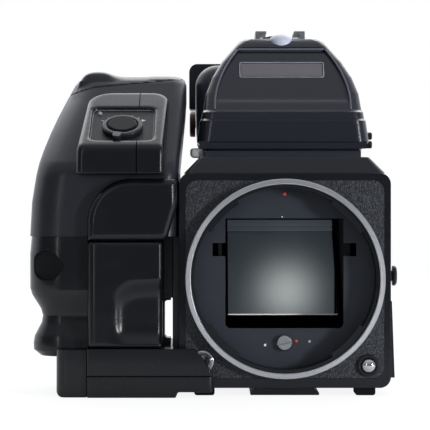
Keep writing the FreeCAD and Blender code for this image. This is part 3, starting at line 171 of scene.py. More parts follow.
def grained_covering():
    """Leathercloth: a black vinyl skin with a pebbled grain, 0.8 mm across, along a slant, whose
    pebble tops are painted lighter and hollows darker, as painted highlight and shade.
    """
    material = finish("grained_leathercloth", "17181c", 0.40, Sheen_Weight=0.05)
    tree, shader, place = parts_of(material)
    slant = add(tree, "Mapping", {"Rotation": (0, math.radians(-32), 0),
                                  "Scale": (1.25, 1.0, 0.75)}, {"Vector": place}).outputs[0]
    pebble, fine_grain = 0.8, 0.35
    pebbles = add(tree, "TexVoronoi", {"Scale": 1 / (pebble * MM), "feature": "F1"},
                  {"Vector": slant})
    height = add(tree, "Math", {"operation": "ADD"}, {
        0: pebbles.outputs["Distance"], 1: noise(tree, slant, fine_grain, 3.0)}).outputs[0]
    # Painted highlight and shade: lighter on the pebbles' tops, darker in the hollows
    painted_grain_light = add(tree, "MapRange", {"From Min": 0.45, "From Max": 1.05}, {"Value": height})
    mixed = blend(tree, colour("454952"), colour("0e1014"), painted_grain_light.outputs[0])
    tree.links.new(mixed, shader.inputs["Base Color"])
    relief(tree, height, 0.30, invert=True)
    return material


def turned_metal(name, base, roughness, pitch, depth):
    """A metal turned on a lathe: fine rings about the lens axis, at a pitch in mm."""
    material = finish(name, base, roughness, 1.0)
    tree, _, place = parts_of(material)
    away = distance(tree, place, (LENS_AXIS[0], 0, LENS_AXIS[1]), (1, 0, 1))
    rings = add(tree, "TexNoise", {"noise_dimensions": "1D", "Scale": 1 / (pitch * MM),
                                   "Detail": 2.0}, {"W": away})
    relief(tree, rings.outputs[0], depth)
    return material


def ground_glass():
    """Ground glass over a field lens, with a painted glow: an emission, brightest at its centre,
    stands in for the light on the screen, though the screen is no lamp.
    """
    glow_centre, glow_radius = (3.9, -2.3, 0), 13.4
    one_over_e = 0.3679
    material = finish("ground_glass", "8e9292", 0.62, mottle=("858989", 0.3), bump=(0.01, 0.12))
    tree, shader, place = parts_of(material)
    away = distance(tree, place, glow_centre, (1, 1, 0))
    share = add(tree, "Math", {"operation": "DIVIDE", 1: glow_radius * MM}, {0: away})
    square = add(tree, "Math", {"operation": "POWER", 1: 2.0}, {0: share.outputs[0]})
    fall = add(tree, "Math", {"operation": "POWER", 0: one_over_e}, {1: square.outputs[0]})
    # Painted glow: the emission goes from dim at the edge to bright at the centre
    painted_glow = blend(tree, colour("262b31"), colour("b6bab8"), fall.outputs[0])
    tree.links.new(painted_glow, shader.inputs["Emission Color"])
    shader.inputs["Emission Strength"].default_value = 1.0
    return material


# Cast aluminium with baked black enamel: satin, with a faint orange peel 0.5 mm across
ENAMEL = finish("baked_black_enamel", "0c0e12", 0.22, mottle=("101217", 3.0), patchy=(0.27, 4.0),
                bump=(0.006, 0.5), Specular_IOR_Level=0.4)
# Die-cast finder shell in a harder, glossier slate lacquer
LACQUER = finish("gloss_slate_lacquer", "15171f", 0.22, mottle=("181a22", 9.0), patchy=(0.26, 9.0),
                 bump=(0.002, 2.5), Coat_Weight=0.25, Coat_Roughness=0.15)
# The same lacquer made much lighter: a painted highlight along the finder panel's raised edge
RIM_PAINTED_HIGHLIGHT = finish("slate_lacquer_painted_highlight", "5a5d6c", 0.2, 0.3, mottle=("50535f", 3.0),
             bump=(0.001, 1.0), Coat_Weight=0.3, Coat_Roughness=0.12)
COVERING = grained_covering()
# Plated brass ring, turned and left satin
SATIN_CHROME = turned_metal("turned_satin_chrome", "d2d4d8", 0.38, 0.12, 0.004)
# The same plating over polished brass
BRIGHT_CHROME = finish("bright_chrome", "d2d4d8", 0.06, 1.0, patchy=(0.10, 2.5),
                       bump=(0.0005, 1.2))
# The same plating on the ring's edges, where lenses have rubbed it
RING_EDGE = finish("burnished_chrome", "d2d4d8", 0.32, 1.0, patchy=(0.36, 2.5),
                   bump=(0.0005, 1.2))
# Ground steel: shaft heads, shoe rails and other bare metal
STEEL = finish("ground_steel", "bcbec1", 0.36, 1.0, mottle=("a9abae", 1.2), patchy=(0.44, 0.7),
               bump=(0.003, 0.3))
# Anodised aluminium plate, matt blue-grey
ANODISED = finish("blue_grey_anodising", "23272e", 0.50, 0.2, mottle=("282c34", 6.0),
                  patchy=(0.56, 3.0), bump=(0.004, 0.25))
# Black anodised turned parts
BLACK_ANODISED = finish("black_anodising", "101115", 0.32, 0.3, mottle=("16171c", 2.0),
                        patchy=(0.40, 1.5), bump=(0.004, 0.3))
# Flocked or blackened surfaces that must not reflect
BLACKENED = finish("matt_blackened_metal", "08090b", 0.72, mottle=("0d0e11", 1.5),
                   bump=(0.02, 0.3), Specular_IOR_Level=0.2)
# Front-silvered glass
SILVER = finish("front_silvered_glass", "d4d8da", 0.03, 1.0, patchy=(0.05, 12.0))
# Moulded ABS with an eggshell texture about 0.35 mm across
MOULDED = finish("moulded_black_abs", "13151b", 0.32, mottle=("16181e", 5.0), patchy=(0.37, 6.0),
                 bump=(0.003, 0.35), Coat_Weight=0.1, Coat_Roughness=0.25)
# The same plastic, smoother where the grip is polished
POLISHED = finish("polished_black_abs", "0a0b0e", 0.22, mottle=("0d0e12", 6.0), patchy=(0.28, 8.0),
                  bump=(0.001, 2.0), Specular_IOR_Level=0.36, Coat_Weight=0.15,
                  Coat_Roughness=0.08)
# Sprayed dial plate, dead matt
DIAL_FACE = finish("matt_dial_lacquer", "0f1014", 0.5, mottle=("141519", 1.0), bump=(0.01, 0.2),
                   Specular_IOR_Level=0.3)
# Smoked acrylic button top, which hardly shines
SMOKED = finish("smoked_acrylic", "0a0b0f", 0.4, mottle=("0d0e13", 3.0), bump=(0.001, 1.0),
                Specular_IOR_Level=0.08)
# Silver-grey lacquer on a small casting
SILVER_PAINT = finish("silver_lacquer", "b4b6ba", 0.42, 0.4, mottle=("a6a8ad", 1.5),
                      bump=(0.003, 0.3))
# Slate-coloured ABS of the meter's housing
HOUSING_GREY = finish("slate_moulded_abs", "2b2c36", 0.30, mottle=("24252e", 9.0),
                      patchy=(0.36, 6.0), bump=(0.003, 0.3))
# Uncoated card in the magazine's memo frame
CARD = finish("matt_memo_card", "8d8b84", 0.8, mottle=("85837c", 4.0), bump=(0.004, 0.4))
# Smoked acrylic over the frame counter
OPTICAL_BLACK = finish("smoked_counter_window", "131418", 0.08, mottle=("17181c", 2.0),
                       Coat_Weight=0.3, Coat_Roughness=0.05)
# Natural rubber, bloomed a little grey
RUBBER = finish("moulded_rubber", "090a0b", 0.7, mottle=("0d0e10", 2.0), patchy=(0.66, 1.0),
                bump=(0.02, 0.4), Specular_IOR_Level=0.15)
# Opal acrylic that spreads light to the cell below it
OPAL = finish("opal_acrylic", "b4b7c8", 0.38, mottle=("a6a9bc", 5.0), bump=(0.004, 0.6),
              Subsurface_Weight=0.2, Subsurface_Radius=(0.003, 0.003, 0.003))
# Pressed bakelite of the meter's dial
BROWN_DIAL = finish("red_brown_bakelite", "5c2a22", 0.32, mottle=("43190f", 1.8),
                    bump=(0.006, 0.4))
# Smoked cover glass over a grey liquid crystal cell
DISPLAY = finish("smoked_cover_glass", "5a5659", 0.16, mottle=("514e52", 14.0), Coat_Weight=0.4,
                 Coat_Roughness=0.05)
# Pale line printed round the cover glass
BORDER = finish("pale_printed_border", "8f909a", 0.42, mottle=("83848f", 2.0), bump=(0.003, 0.2))
# Engraved or printed marks, as paint with a little body
RED_PAINT = finish("red_fill_paint", "c03a28", 0.45, mottle=("a92e20", 0.6), bump=(0.01, 0.2))
WHITE_PAINT = finish("white_fill_paint", "d8d8d4", 0.5, mottle=("c6c6c2", 0.6), bump=(0.01, 0.2))
GREY_PAINT = finish("grey_fill_paint", "8a8c92", 0.5, mottle=("7b7d84", 0.6), bump=(0.01, 0.2))
# Waxed hide of the hand strap
STRAP = finish("waxed_black_leather", "141416", 0.5, mottle=("1f1f22", 1.6), patchy=(0.62, 1.2),
               bump=(0.06, 0.7))
# Polished and coated optical glass
OPTICAL = finish("coated_optical_glass", "c9d6dc", 0.03, patchy=(0.05, 8.0), IOR=1.52,
                 Transmission_Weight=1.0)
# The screen's painted glow, which the mirror's hinge cover and clamp also take
SCREEN_PAINTED_GLOW = ground_glass()


# Modelling by hand

BREAK_ANGLE = 30  # edges sharper than this are rounded
SHADING_ANGLE = 38  # edges sharper than this stay crisp
MERGE = 0.01  # points closer than this in mm are one
FLAT = 0.6  # faces that differ by less than this in degrees are one


def deselect():
    bpy.ops.object.select_all(action="DESELECT")


def activate(piece):
    """Makes a piece the only one that is selected, and the active one."""
    deselect()
    piece.select_set(True)
    bpy.context.view_layer.objects.active = piece


def edit(piece):
    """Opens a piece in edit mode with all of it selected."""
    activate(piece)
    bpy.ops.object.mode_set(mode="EDIT")
    bpy.ops.mesh.select_mode(type="VERT")
    bpy.ops.mesh.select_all(action="SELECT")


def begin(name):
    """Names the primitive that was just added and opens it in edit mode."""
    piece = bpy.context.object
    piece.name = name
    edit(piece)
    return piece


def leave():
    bpy.ops.object.mode_set(mode="OBJECT")


def pick(piece, test, kind="FACE"):
    """In edit mode, selects what passes a test of its middle in mm and its normal or direction."""
    bpy.ops.mesh.select_mode(type=kind)
    bpy.ops.mesh.select_all(action="DESELECT")
    work = bmesh.from_edit_mesh(piece.data)
    for part in (work.faces if kind == "FACE" else work.edges):
        middle = sum((vertex.co for vertex in part.verts), Vector()) / len(part.verts) / MM
        if kind == "FACE":
            way = part.normal
        else:
            way = (part.verts[1].co - part.verts[0].co).normalized()
        part.select_set(bool(test(middle, way)))
    bmesh.update_edit_mesh(piece.data)


def modify(piece, kind, **settings):
    """Adds a modifier with its settings and applies it."""
    activate(piece)
    made = piece.modifiers.new(kind.lower(), kind)
    for key, value in settings.items():
        setattr(made, key, value)
    bpy.ops.object.modifier_apply(modifier=made.name)


def trim(piece, operation, other):
    """Cuts a piece by another or to another, which is then removed."""
    modify(piece, "BOOLEAN", operation=operation, object=other, solver="EXACT")
    bpy.data.objects.remove(other)


def smooth(piece, angle=SHADING_ANGLE):
    """Shades a piece smoothly up to an angle between its faces."""
    activate(piece)
    bpy.ops.object.shade_smooth_by_angle(angle=math.radians(angle))


def soften(piece, width):
    """Rounds the sharp edges by a width in mm and smooths the shading."""
    modify(piece, "BEVEL", width=width * MM, segments=2, limit_method="ANGLE",
           angle_limit=math.radians(BREAK_ANGLE), miter_outer="MITER_ARC")
    smooth(piece)
    modify(piece, "WEIGHTED_NORMAL", keep_sharp=True)


def settle(piece, rotation=(0, 0, 0), place=(0, 0, 0)):
    """Turns and moves a finished piece, then puts that into its mesh."""
    activate(piece)
    piece.rotation_euler = [math.radians(angle) for angle in rotation]
    piece.location = [value * MM for value in place]
    bpy.ops.object.transform_apply(location=True, rotation=True, scale=True)
    return piece


def turned(name, profile, sides):
    """A turned piece about Z: a circle drawn out along its profile of (radius, height) in mm."""
    deselect()
    radius, height = profile[0]
    bpy.ops.mesh.primitive_circle_add(vertices=sides, radius=radius * MM)
    piece = begin(name)
    bpy.ops.transform.translate(value=(0, 0, height * MM))
    for wider, higher in profile[1:]:
        bpy.ops.mesh.extrude_region_move(
            TRANSFORM_OT_translate={"value": (0, 0, (higher - height) * MM)})
        ratio = wider / radius
        bpy.ops.transform.resize(value=(ratio, ratio, 1), center_override=(0, 0, 0))
        radius, height = wider, higher
    bpy.ops.mesh.select_all(action="SELECT")
    bpy.ops.mesh.remove_doubles(threshold=0.002 * MM)
    bpy.ops.mesh.select_mode(type="EDGE")
    bpy.ops.mesh.select_all(action="DESELECT")
    bpy.ops.mesh.select_non_manifold(extend=False)
    bpy.ops.mesh.edge_face_add()
    bpy.ops.mesh.select_all(action="SELECT")
    bpy.ops.mesh.normals_make_consistent(inside=False)
    leave()
    return piece


def plate(name, width, height, thickness, corner=0, dent=0):
    """A flat plate about the origin in XY, its face at Z 0, with corners of a radius and a face
    that is sunk inside a rim of a width, where these are given."""
    deselect()
    bpy.ops.mesh.primitive_cube_add(size=1)
    piece = begin(name)
    bpy.ops.transform.resize(value=(width * MM, height * MM, thickness * MM))
    bpy.ops.transform.translate(value=(0, 0, -thickness / 2 * MM))
    if corner:
        pick(piece, lambda middle, way: abs(abs(middle.x) - width / 2) < 0.001
             and abs(abs(middle.y) - height / 2) < 0.001, "EDGE")
        bpy.ops.mesh.bevel(offset=corner * MM, segments=6)
    if dent:
        pick(piece, lambda middle, way: way.z > 0.9)
        bpy.ops.mesh.inset(thickness=dent * MM)
        bpy.ops.transform.translate(value=(0, 0, -dent * 0.5 * MM))
    leave()
    return piece


def rim_line(name, width, height, corner, line):
    """A thin flat frame about the origin in XY, with round corners, a little proud of Z 0."""
    piece = plate(name, width, height, 0.2, corner)
    edit(piece)
    pick(piece, lambda middle, way: way.z > 0.9)
    bpy.ops.mesh.inset(thickness=line * MM)
    bpy.ops.mesh.delete(type="FACE")
    pick(piece, lambda middle, way: way.z < 0.9)
    bpy.ops.mesh.delete(type="FACE")
    leave()
    modify(piece, "SOLIDIFY", thickness=0.1 * MM, offset=0)
    smooth(piece, 30)
    return piece


def rounding(radius, base, height, steps):
    """The profile of a crown: a quarter of an ellipse from a radius up to the axis, whose last
    point stays 0.05 mm off it."""
    return [(radius * math.cos(math.radians(angle)) if angle < 90 else 0.05,
             height * math.sin(math.radians(angle)) + base) for angle in steps]


def on(piece, body, slot, material, *nodes):
    """Gives a piece its material, body and the solids it stands for; the slot it is handed is not
    used.
    """
    if material:
        piece.data.materials.clear()
        piece.data.materials.append(material)
    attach(piece, body)
    if nodes:
        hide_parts(*nodes)


# Pieces that keep their solid's form

SLOTS = {part["node"]: part["material_slot"] for part in frame["record"]["subparts"]}
BODIES = {node: body for body, nodes in frame["record"]["behaviour"]["bodies"].items()
          for node in nodes}


def stand_in(piece, node, material):
    """Lets a piece take the place of one solid, on its body."""
    on(piece, BODIES[node], SLOTS[node], material, node)


def copied(node, name):
    """A copy of a solid's mesh, opened in edit mode without the normals stored in it."""
    piece = bpy.data.objects.new(name, frame["nodes"][node].data.copy())
    bpy.context.scene.collection.objects.link(piece)
    edit(piece)
    bpy.ops.mesh.customdata_custom_splitnormals_clear()
    return piece


def dressed(node, material, width, rolls=()):
    """The solid's own form with its edges broken and its curves smoothed, some rolled further."""
    piece = copied(node, node + "_finished")
    bpy.ops.mesh.remove_doubles(threshold=MERGE * MM)
    bpy.ops.mesh.dissolve_limited(angle_limit=math.radians(FLAT))
    for test, reach, segments in rolls:
        pick(piece, test, "EDGE")
        bpy.ops.mesh.bevel(offset=reach * MM, segments=segments, clamp_overlap=True)
    leave()
    soften(piece, width)
    stand_in(piece, node, material)


def padded(node, voxel, test, rounds):
    """A moulding's form with a region drawn soft: its mesh made even, then smoothed there."""
    piece = copied(node, node + "_finished")
    leave()
    modify(piece, "REMESH", mode="VOXEL", voxel_size=voxel * MM)
    edit(piece)
    bpy.ops.mesh.vertices_smooth(factor=0.5, repeat=2)
    pick(piece, test)
    bpy.ops.mesh.vertices_smooth(factor=0.5, repeat=rounds)
    leave()
    return piece


def shoulder(middle, way):
    """The level edges of the grip's front where its slope begins."""
    height, behind_front = 99, -20
    return abs(middle.z - height) < 0.3 and abs(way.z) < 0.05 and middle.y < behind_front


def all_over(middle, way):
    """The whole of a piece."""
    return True


def pocket_side(middle, way):
    """The hollow for the fingertips in the column's front, with the ground round it."""
    depth, low, high, left_end = -37, 23.6, 50, -77
    return middle.y < depth and low < middle.z < high and middle.x > left_end


def cap_bump(middle, way):
    """The raised pad on the grip's cap and the ground round it."""
    ground, right_end = 140.2, -60
    return middle.z > ground and middle.x < right_end


def hood_top(middle, way):
    """The hood's sloped upper surface down to a little below its edges."""
    turn, below_edges = math.radians(DIAL_ANGLE), -2.4
    above = (middle.z - DIAL[2]) * math.cos(turn) - (middle.y - DIAL[1]) * math.sin(turn)
    return above > below_edges


def split_hood(hood):
    """Cuts the hood's seam, and a bore in which the winder's button goes down freely."""
    seam_width, seam_place = 0.4, (-64.0, -30, 150.0)
    slit = plate("seam_cutter", seam_width, 80, 80)
    trim(hood, "DIFFERENCE", settle(slit, place=seam_place))
    bore_radius, floor, mouth = 7.7, -16, -2.72
    bore = turned("bore_cutter", [(bore_radius, floor), (bore_radius, mouth)], 64)
    trim(hood, "DIFFERENCE", settle(bore, (DIAL_ANGLE, 0, 0), DIAL))


for node, material, width in (
        ("body_shell", ENAMEL, 0.5), ("top_cover", ENAMEL, 0.6),
        ("front_covering", COVERING, 0.15), ("side_covering", COVERING, 0.15),
        ("bayonet_ring", BLACK_ANODISED, 0.5), ("throat_plate", ANODISED, 0.2),
        ("mirror_glass", SILVER, 0.15), ("mirror_frame", BLACKENED, 0.15),
        ("drive_shaft", STEEL, 0.12), ("tripod_plate", BLACK_ANODISED, 0.25),
        ("body_feet", RUBBER, 0.4), ("strap_stud", BLACK_ANODISED, 0.15),
        ("accessory_rail", ENAMEL, 0.3), ("prism_housing", LACQUER, 0.9),
        ("control_frame", MOULDED, 0.5), ("finder_base", ANODISED, 0.3),
        ("display_window", DISPLAY, 0.1), ("accessory_shoe", STEEL, 0.25),
        ("eyepiece_tube", BLACK_ANODISED, 0.3), ("eyepiece_lens", OPTICAL, 0.3),
        ("eyecup", RUBBER, 0.8), ("meter_dial", BROWN_DIAL, 0.2),
        ("upper_side_button", BLACK_ANODISED, 0.2), ("lower_side_button", BLACK_ANODISED, 0.2),
        ("palm_panel", POLISHED, 0.35), ("grip_shell", POLISHED, 0.8), ("web_plate", MOULDED, 0.4),
        ("base_arm", POLISHED, 0.5), ("battery_cassette", POLISHED, 0.6),
        ("dial_plate", DIAL_FACE, 0.15), ("mode_ring", MOULDED, 0.25),
        ("winder_button", SMOKED, 0.25), ("magazine_shell", ENAMEL, 0.7),
        ("film_crank", STEEL, 0.25), ("hand_strap", STRAP, 0.5)):
    dressed(node, material, width)

dressed("grip_housing", MOULDED, 0.6, rolls=[(shoulder, 4.5, 6)])

for node, material, voxel, test, rounds, cut, angle in (
        ("grip_cap", MOULDED, 0.6, cap_bump, 130, None, 50),
        ("finder_lug", SILVER_PAINT, 0.4, all_over, 10, None, 60),
        ("grip_column", POLISHED, 0.8, pocket_side, 32, None, 50),
        ("dial_hood", POLISHED, 0.5, hood_top, 16, split_hood, 50)):
    piece = padded(node, voxel, test, rounds)
    if cut:
        cut(piece)
    smooth(piece, angle)
    stand_in(piece, node, material)

# Inner parts are shown as their solids are
for node, material in (
        ("mirror_box", BLACKENED), ("screen_frame", BLACKENED), ("focusing_screen", SCREEN_PAINTED_GLOW),
        ("light_flap_upper", BLACKENED), ("light_flap_lower", BLACKENED), ("wind_shaft", STEEL),
        ("finder_prism", OPTICAL), ("battery_cells", ENAMEL), ("motor", STEEL),
        ("motor_pinion", STEEL), ("drive_gear", STEEL), ("film_insert", BLACKENED),
        ("feed_spool", BLACK_ANODISED), ("takeup_spool", BLACK_ANODISED)):
    for slot in frame["nodes"][node].material_slots:
        slot.material = material


# Lens mount and mirror

def lens_ring():
    """The satin ring with its burnished edges and the spigot behind it."""
    outer, inner, seat, root = 43.2, 40.78, 35.5, 33.1
    profile = [(outer, seat), (outer, 40.6), (43.05, 40.8), (41.6, 40.96), (41.45, 41.0),
               (41.2, 41.0), (41.0, 40.9), (40.86, 40.7), (40.8, 40.4), (inner, 39.7),
               (inner, root), (41.9, root), (41.9, seat), (outer, seat)]
    ring = turned("lens_mount_ring", profile, 160)
    ring.data.materials.append(SATIN_CHROME)
    ring.data.materials.append(RING_EDGE)
    inner_edge, outer_edge = 41.25, 42.9
    for face in ring.data.polygons:
        away = math.hypot(face.center.x, face.center.y) / MM
        face.material_index = 1 if away < inner_edge or away > outer_edge else 0
    smooth(ring, 30)
    settle(ring, (90, 0, 0), (0, 0, LENS_AXIS[1]))
    on(ring, "camera", "chrome", None, "mount_ring")


def dot(name, x, z, radius, material):
    """A mark on the throat plate, filled with paint that stands a little proud."""
    profile = [(radius, -0.1), (radius, 0.04), (radius * 0.8, 0.1), (radius * 0.4, 0.13)]
    mark = turned(name, profile, 24)
    smooth(mark, 60)
    on(settle(mark, (90, 0, 0), (x, THROAT_PLATE, z)), "camera", "chrome", material)


def mirror_ends():
    """The cover over the mirror's hinge and the clamp below it, which glow with the screen's
    painted glow so that they look as light as what the glass mirrors, and the glass's ground edge,
    painted white as a painted highlight."""
    width, thickness = 49.2, 0.25
    # Both strips glow with the screen's painted glow, though they are no lamp
    for name, height, place in (("mirror_hinge_cover", 4.16, (0, -0.72, 1.75)),
                                ("mirror_top_clamp", 2.9, (0, -2.95, 0.1))):
        strip = settle(plate(name, width, height, thickness, 0.2), place=place)
        settle(strip, (MIRROR_TILT, 0, 0), MIRROR_AXLE)
        on(strip, BODIES["mirror_glass"], SLOTS["mirror_glass"], SCREEN_PAINTED_GLOW)
    # The ground edge, painted white as a painted highlight along the glass
    edge = plate("mirror_edge_painted_highlight", 48.8, 0.5, thickness, 0.1)
    settle(edge, (90, 0, 0), (0, -11.9, 34.0))
    on(edge, BODIES["mirror_glass"], SLOTS["mirror_glass"], WHITE_PAINT)


lens_ring()
dot("top_index_mark", 0.1, 87.7, 0.75, RED_PAINT)
dot("left_shaft_mark", -8.5, 21.5, 0.55, WHITE_PAINT)
dot("right_shaft_mark", 5.3, 23.3, 0.6, RED_PAINT)
dot("far_shaft_mark", 11.0, 23.1, 0.6, GREY_PAINT)
mirror_ends()
dot("aperture_mark", -1.0, 77.7, 0.3, WHITE_PAINT)


# Buttons on the front

SHUTTER_RELEASE = (-35.6, 15.1)  # X and Z
LENS_RELEASE = (36.2, 13.2)


def button_collars():
    """A bright collar round the shutter release and a black one round the lens release."""
    collars = []
    outer, seat = 4.8, 35.95
    for (x, z), radius, material in ((SHUTTER_RELEASE, 3.4, BRIGHT_CHROME),
                                     (LENS_RELEASE, 3.1, BLACK_ANODISED)):
        bore = radius + 0.08
        profile = [(outer, seat), (outer, 37.0), (4.5, 37.4), (4.1, 37.5), (bore + 0.3, 37.3),
                   (bore, 36.9), (bore, seat), (outer, seat)]
        collar = turned("collar", profile, 64)
        smooth(collar, 50)
        collar.data.materials.append(material)
        collars.append(settle(collar, (90, 0, 0), (x, 0, z)))
    activate(collars[0])
    collars[1].select_set(True)
    bpy.ops.object.join()
    collars[0].name = "button_collar_pair"
    on(collars[0], "camera", "chrome", None, "button_collars")


def front_button(name, node, place, profile):
    """A press button, turned from brass and plated."""
    button = turned(name, profile, 64)
    smooth(button, 50)
    settle(button, (90, 0, 0), (place[0], 0, place[1]))
    on(button, BODIES[node], "chrome", BRIGHT_CHROME, node)


def dished(radius, proud, dish):
    """The profile of a button with a broken edge and a hollow face."""
    face, edge = BODY_FRONT + proud, 0.5
    return [(radius, BUTTON_SEAT), (radius, face - edge), (radius - edge, face),
            (radius * 0.6, face - dish * 0.6), (0.05, face - dish)]


def crowned(radius, proud, crown):
    """The profile of a button with a domed face."""
    shoulder_height = BODY_FRONT + proud - crown
    return [(radius, BUTTON_SEAT), (radius, shoulder_height)] + rounding(
        radius, shoulder_height, crown, [step / 8 * 90 for step in range(1, 9)])


button_collars()
front_button("shutter_release", "release_button", SHUTTER_RELEASE, dished(3.34, 2.55, 0.5))
front_button("lens_release", "lens_release_button", LENS_RELEASE, crowned(3.04, 3.35, 2.0))


# Finder

def on_slope(piece):
    """Lays a flat piece on the finder's sloped front."""
    return settle(piece, (SLOPE_ANGLE, 0, 0), SLOPE_FOOT)


def window_border():
    """A thin pale frame round the display, with a darker shadow line inside it."""
    for name, width, height, corner, line, material in (
            ("window_border", 38.5, 8.6, 1.0, 0.38, BORDER),
            ("window_shadow_line", 37.6, 7.7, 0.8, 0.3, BLACKENED)):
        border = settle(rim_line(name, width, height, corner, line), place=WINDOW_PLACE)
        on(on_slope(border), "finder", "display_pane", material)


def incident_dome():
    """The shallow opal dome over the incident light cell, tipped forward in its seat."""
    radius = 5.45
    profile = [(radius, -2.9), (5.5, -0.3), (radius, 0.05)] + rounding(
        radius, 0.05, 2.5, range(10, 91, 10))
    dome = turned("opal_dome", profile, 64)
    smooth(dome, 60)
    on(settle(dome, (20, 0, 0), (0, 10.8, 158.9)), "finder", "opal", OPAL, "incident_dome")


def meter_cover():
    """The side housing, rolled well over at its top and front, trimmed to the finder's flank."""
    low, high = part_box("meter_housing")
    near, reach = 0.01, 10
    left, front, top = low[0] / MM + near, low[1] / MM + near, high[2] / MM - near
    deselect()
    bpy.ops.mesh.primitive_cube_add(size=1)
    cover = begin("meter_cover")
    bpy.ops.transform.resize(value=[high[axis] - low[axis] for axis in range(3)])
    bpy.ops.transform.translate(value=[(high[axis] + low[axis]) / 2 for axis in range(3)])
    # The edges where two of the left, front and top sides meet
    pick(cover, lambda middle, way: (middle.x < left) + (middle.y < front) + (middle.z > top) > 1,
         "EDGE")
    bpy.ops.mesh.bevel(offset=reach * MM, segments=14)
    leave()
    solid = copied("meter_housing", "meter_form")
    bpy.ops.mesh.remove_doubles(threshold=MERGE * MM)
    leave()
    trim(cover, "INTERSECT", solid)
    smooth(cover, 35)
    on(cover, "finder", SLOTS["meter_housing"], HOUSING_GREY, "meter_housing")


def panel_fold():
    """The soft fold in which the finder's front panel ends, above the first ledge."""
    width, lap, thickness = 61.2, 0.9, 0.6
    profile = [(0.8, -0.3), (2.4, -0.31), (3.4, -0.35), (4.2, -0.45), (4.9, -0.63), (5.5, -0.85),
               (6.1, -1.05), (6.9, -1.2)]
    deselect()
    bpy.ops.mesh.primitive_plane_add(size=1)
    piece = begin("panel_fold")
    bpy.ops.transform.resize(value=(width * MM, lap * MM, 1))
    bpy.ops.transform.translate(value=(0, 0.35 * MM, -0.3 * MM))
    pick(piece, lambda middle, way: middle.y > 0.79, "EDGE")
    for (near, low), (far, high) in zip(profile, profile[1:]):
        bpy.ops.mesh.extrude_edges_move(
            TRANSFORM_OT_translate={"value": (0, (far - near) * MM, (high - low) * MM)})
    leave()
    modify(piece, "SOLIDIFY", thickness=thickness * MM, offset=-1)
    smooth(piece, 50)
    on(on_slope(piece), "finder", SLOTS["prism_housing"], LACQUER)


def panel_side(share):
    """Half the front panel's width at a share of its length: the slope's bowed side, less its
    rolled edge, which is wider at the foot."""
    foot, top = SLOPE_HALF_WIDTHS
    edge, wider_at_foot, overlap = 2.8, 2.6, 0.15
    straight = foot + (top - foot) * share
    bow = 4 * SLOPE_BULGE * share * (1 - share)
    return straight + bow - edge - wider_at_foot * (1 - share) + overlap


def panel_rim():
    """The rounded edge of the finder's front panel: a thin bead along its sides and top, in a
    lighter lacquer as a painted highlight.
    """
    steps = 14
    right = [(panel_side(step / steps), SLOPE_LENGTH * step / steps) for step in range(steps)]
    left = [(-across, along) for across, along in right]
    top = [(-19.5, 33.5), (19.5, 33.5)]
    radius, height = 0.45, -0.02
    for name, line, axis in (("left", left, "X"), ("right", right, "X"), ("top", top, "Y")):
        deselect()
        bpy.ops.mesh.primitive_circle_add(vertices=12, radius=radius * MM)
        bead = begin("panel_rim_" + name)
        bpy.ops.transform.rotate(value=math.radians(90), orient_axis=axis,
                                 center_override=(0, 0, 0))
        bpy.ops.transform.translate(value=(line[0][0] * MM, line[0][1] * MM, height * MM))
        for near, far in zip(line, line[1:]):
            bpy.ops.mesh.extrude_region_move(TRANSFORM_OT_translate={
                "value": ((far[0] - near[0]) * MM, (far[1] - near[1]) * MM, 0)})
        bpy.ops.mesh.select_all(action="SELECT")
        bpy.ops.mesh.normals_make_consistent(inside=False)
        leave()
        smooth(bead, 60)
        on(on_slope(bead), "finder", SLOTS["prism_housing"], RIM_PAINTED_HIGHLIGHT)


def skirt_foot():
    """The upright band under the skirt's crease."""
    band = settle(plate("skirt_foot", 74.6, 3.3, 1.2, 0.5), (90, 0, 0), (0, -17.1, 109.7))
    smooth(band, 40)
    on(band, "finder", SLOTS["prism_housing"], LACQUER)


window_border()
incident_dome()
meter_cover()
panel_fold()
panel_rim()
skirt_foot()


# Magazine

def magazine_fittings():
    """The memo frame with its card, the frame counter's window and the latch slide."""
    low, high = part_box("magazine_shell")
    back, top = high[1] / MM, high[2] / MM
    depth_middle, height_middle = (low[1] + high[1]) / 2 / MM, (low[2] + high[2]) / 2 / MM
    to_back = (-90, 0, 0)
    memo = rim_line("memo_frame", 52, 40, 2.0, 1.4)
    settle(memo, to_back, (0, back - 0.05, height_middle))
    on(memo, "magazine", SLOTS["magazine_shell"], STEEL)
    card = plate("memo_card", 49.6, 37.6, 0.3, 1.2)
    settle(card, to_back, (0, back, height_middle))
    on(card, "magazine", SLOTS["magazine_shell"], CARD)
    profile = [(4.2, -0.3), (4.2, 0.1), (3.7, 0.28), (3.3, 0.12), (0.05, 0.12)]
    window = turned("counter_window", profile, 48)
    smooth(window, 40)
    settle(window, to_back, (33.5, back - 0.25, height_middle + 8))
    on(window, "magazine", SLOTS["magazine_shell"], OPTICAL_BLACK)
    latch = plate("magazine_latch", 14, 7, 1.6, 1.4, dent=0.6)
    settle(latch, place=(0, depth_middle, top - 0.2))
    on(latch, "magazine", SLOTS["magazine_shell"], STEEL)


magazine_fittings()


# Winder grip

def gap_frame():
    """The moulded edge round the gap between the grip's column and its mounting web."""
    edge = plate("gap_frame", 4.6, 25.2, 10)
    gap = settle(plate("gap_cutter", 5.0, 16.6, 30, 1.5), place=(2.12, 1.95, 10))
    trim(edge, "DIFFERENCE", gap)
    settle(edge, (90, 0, 0), (-52.3, -22, 30.6))
    smooth(edge, 40)
    on(edge, "winder", SLOTS["web_plate"], POLISHED)


def on_dial(piece):
    """Lays a flat piece, drawn about the dial's centre, on the sloped hood."""
    return settle(piece, (DIAL_ANGLE, 0, 0), DIAL)


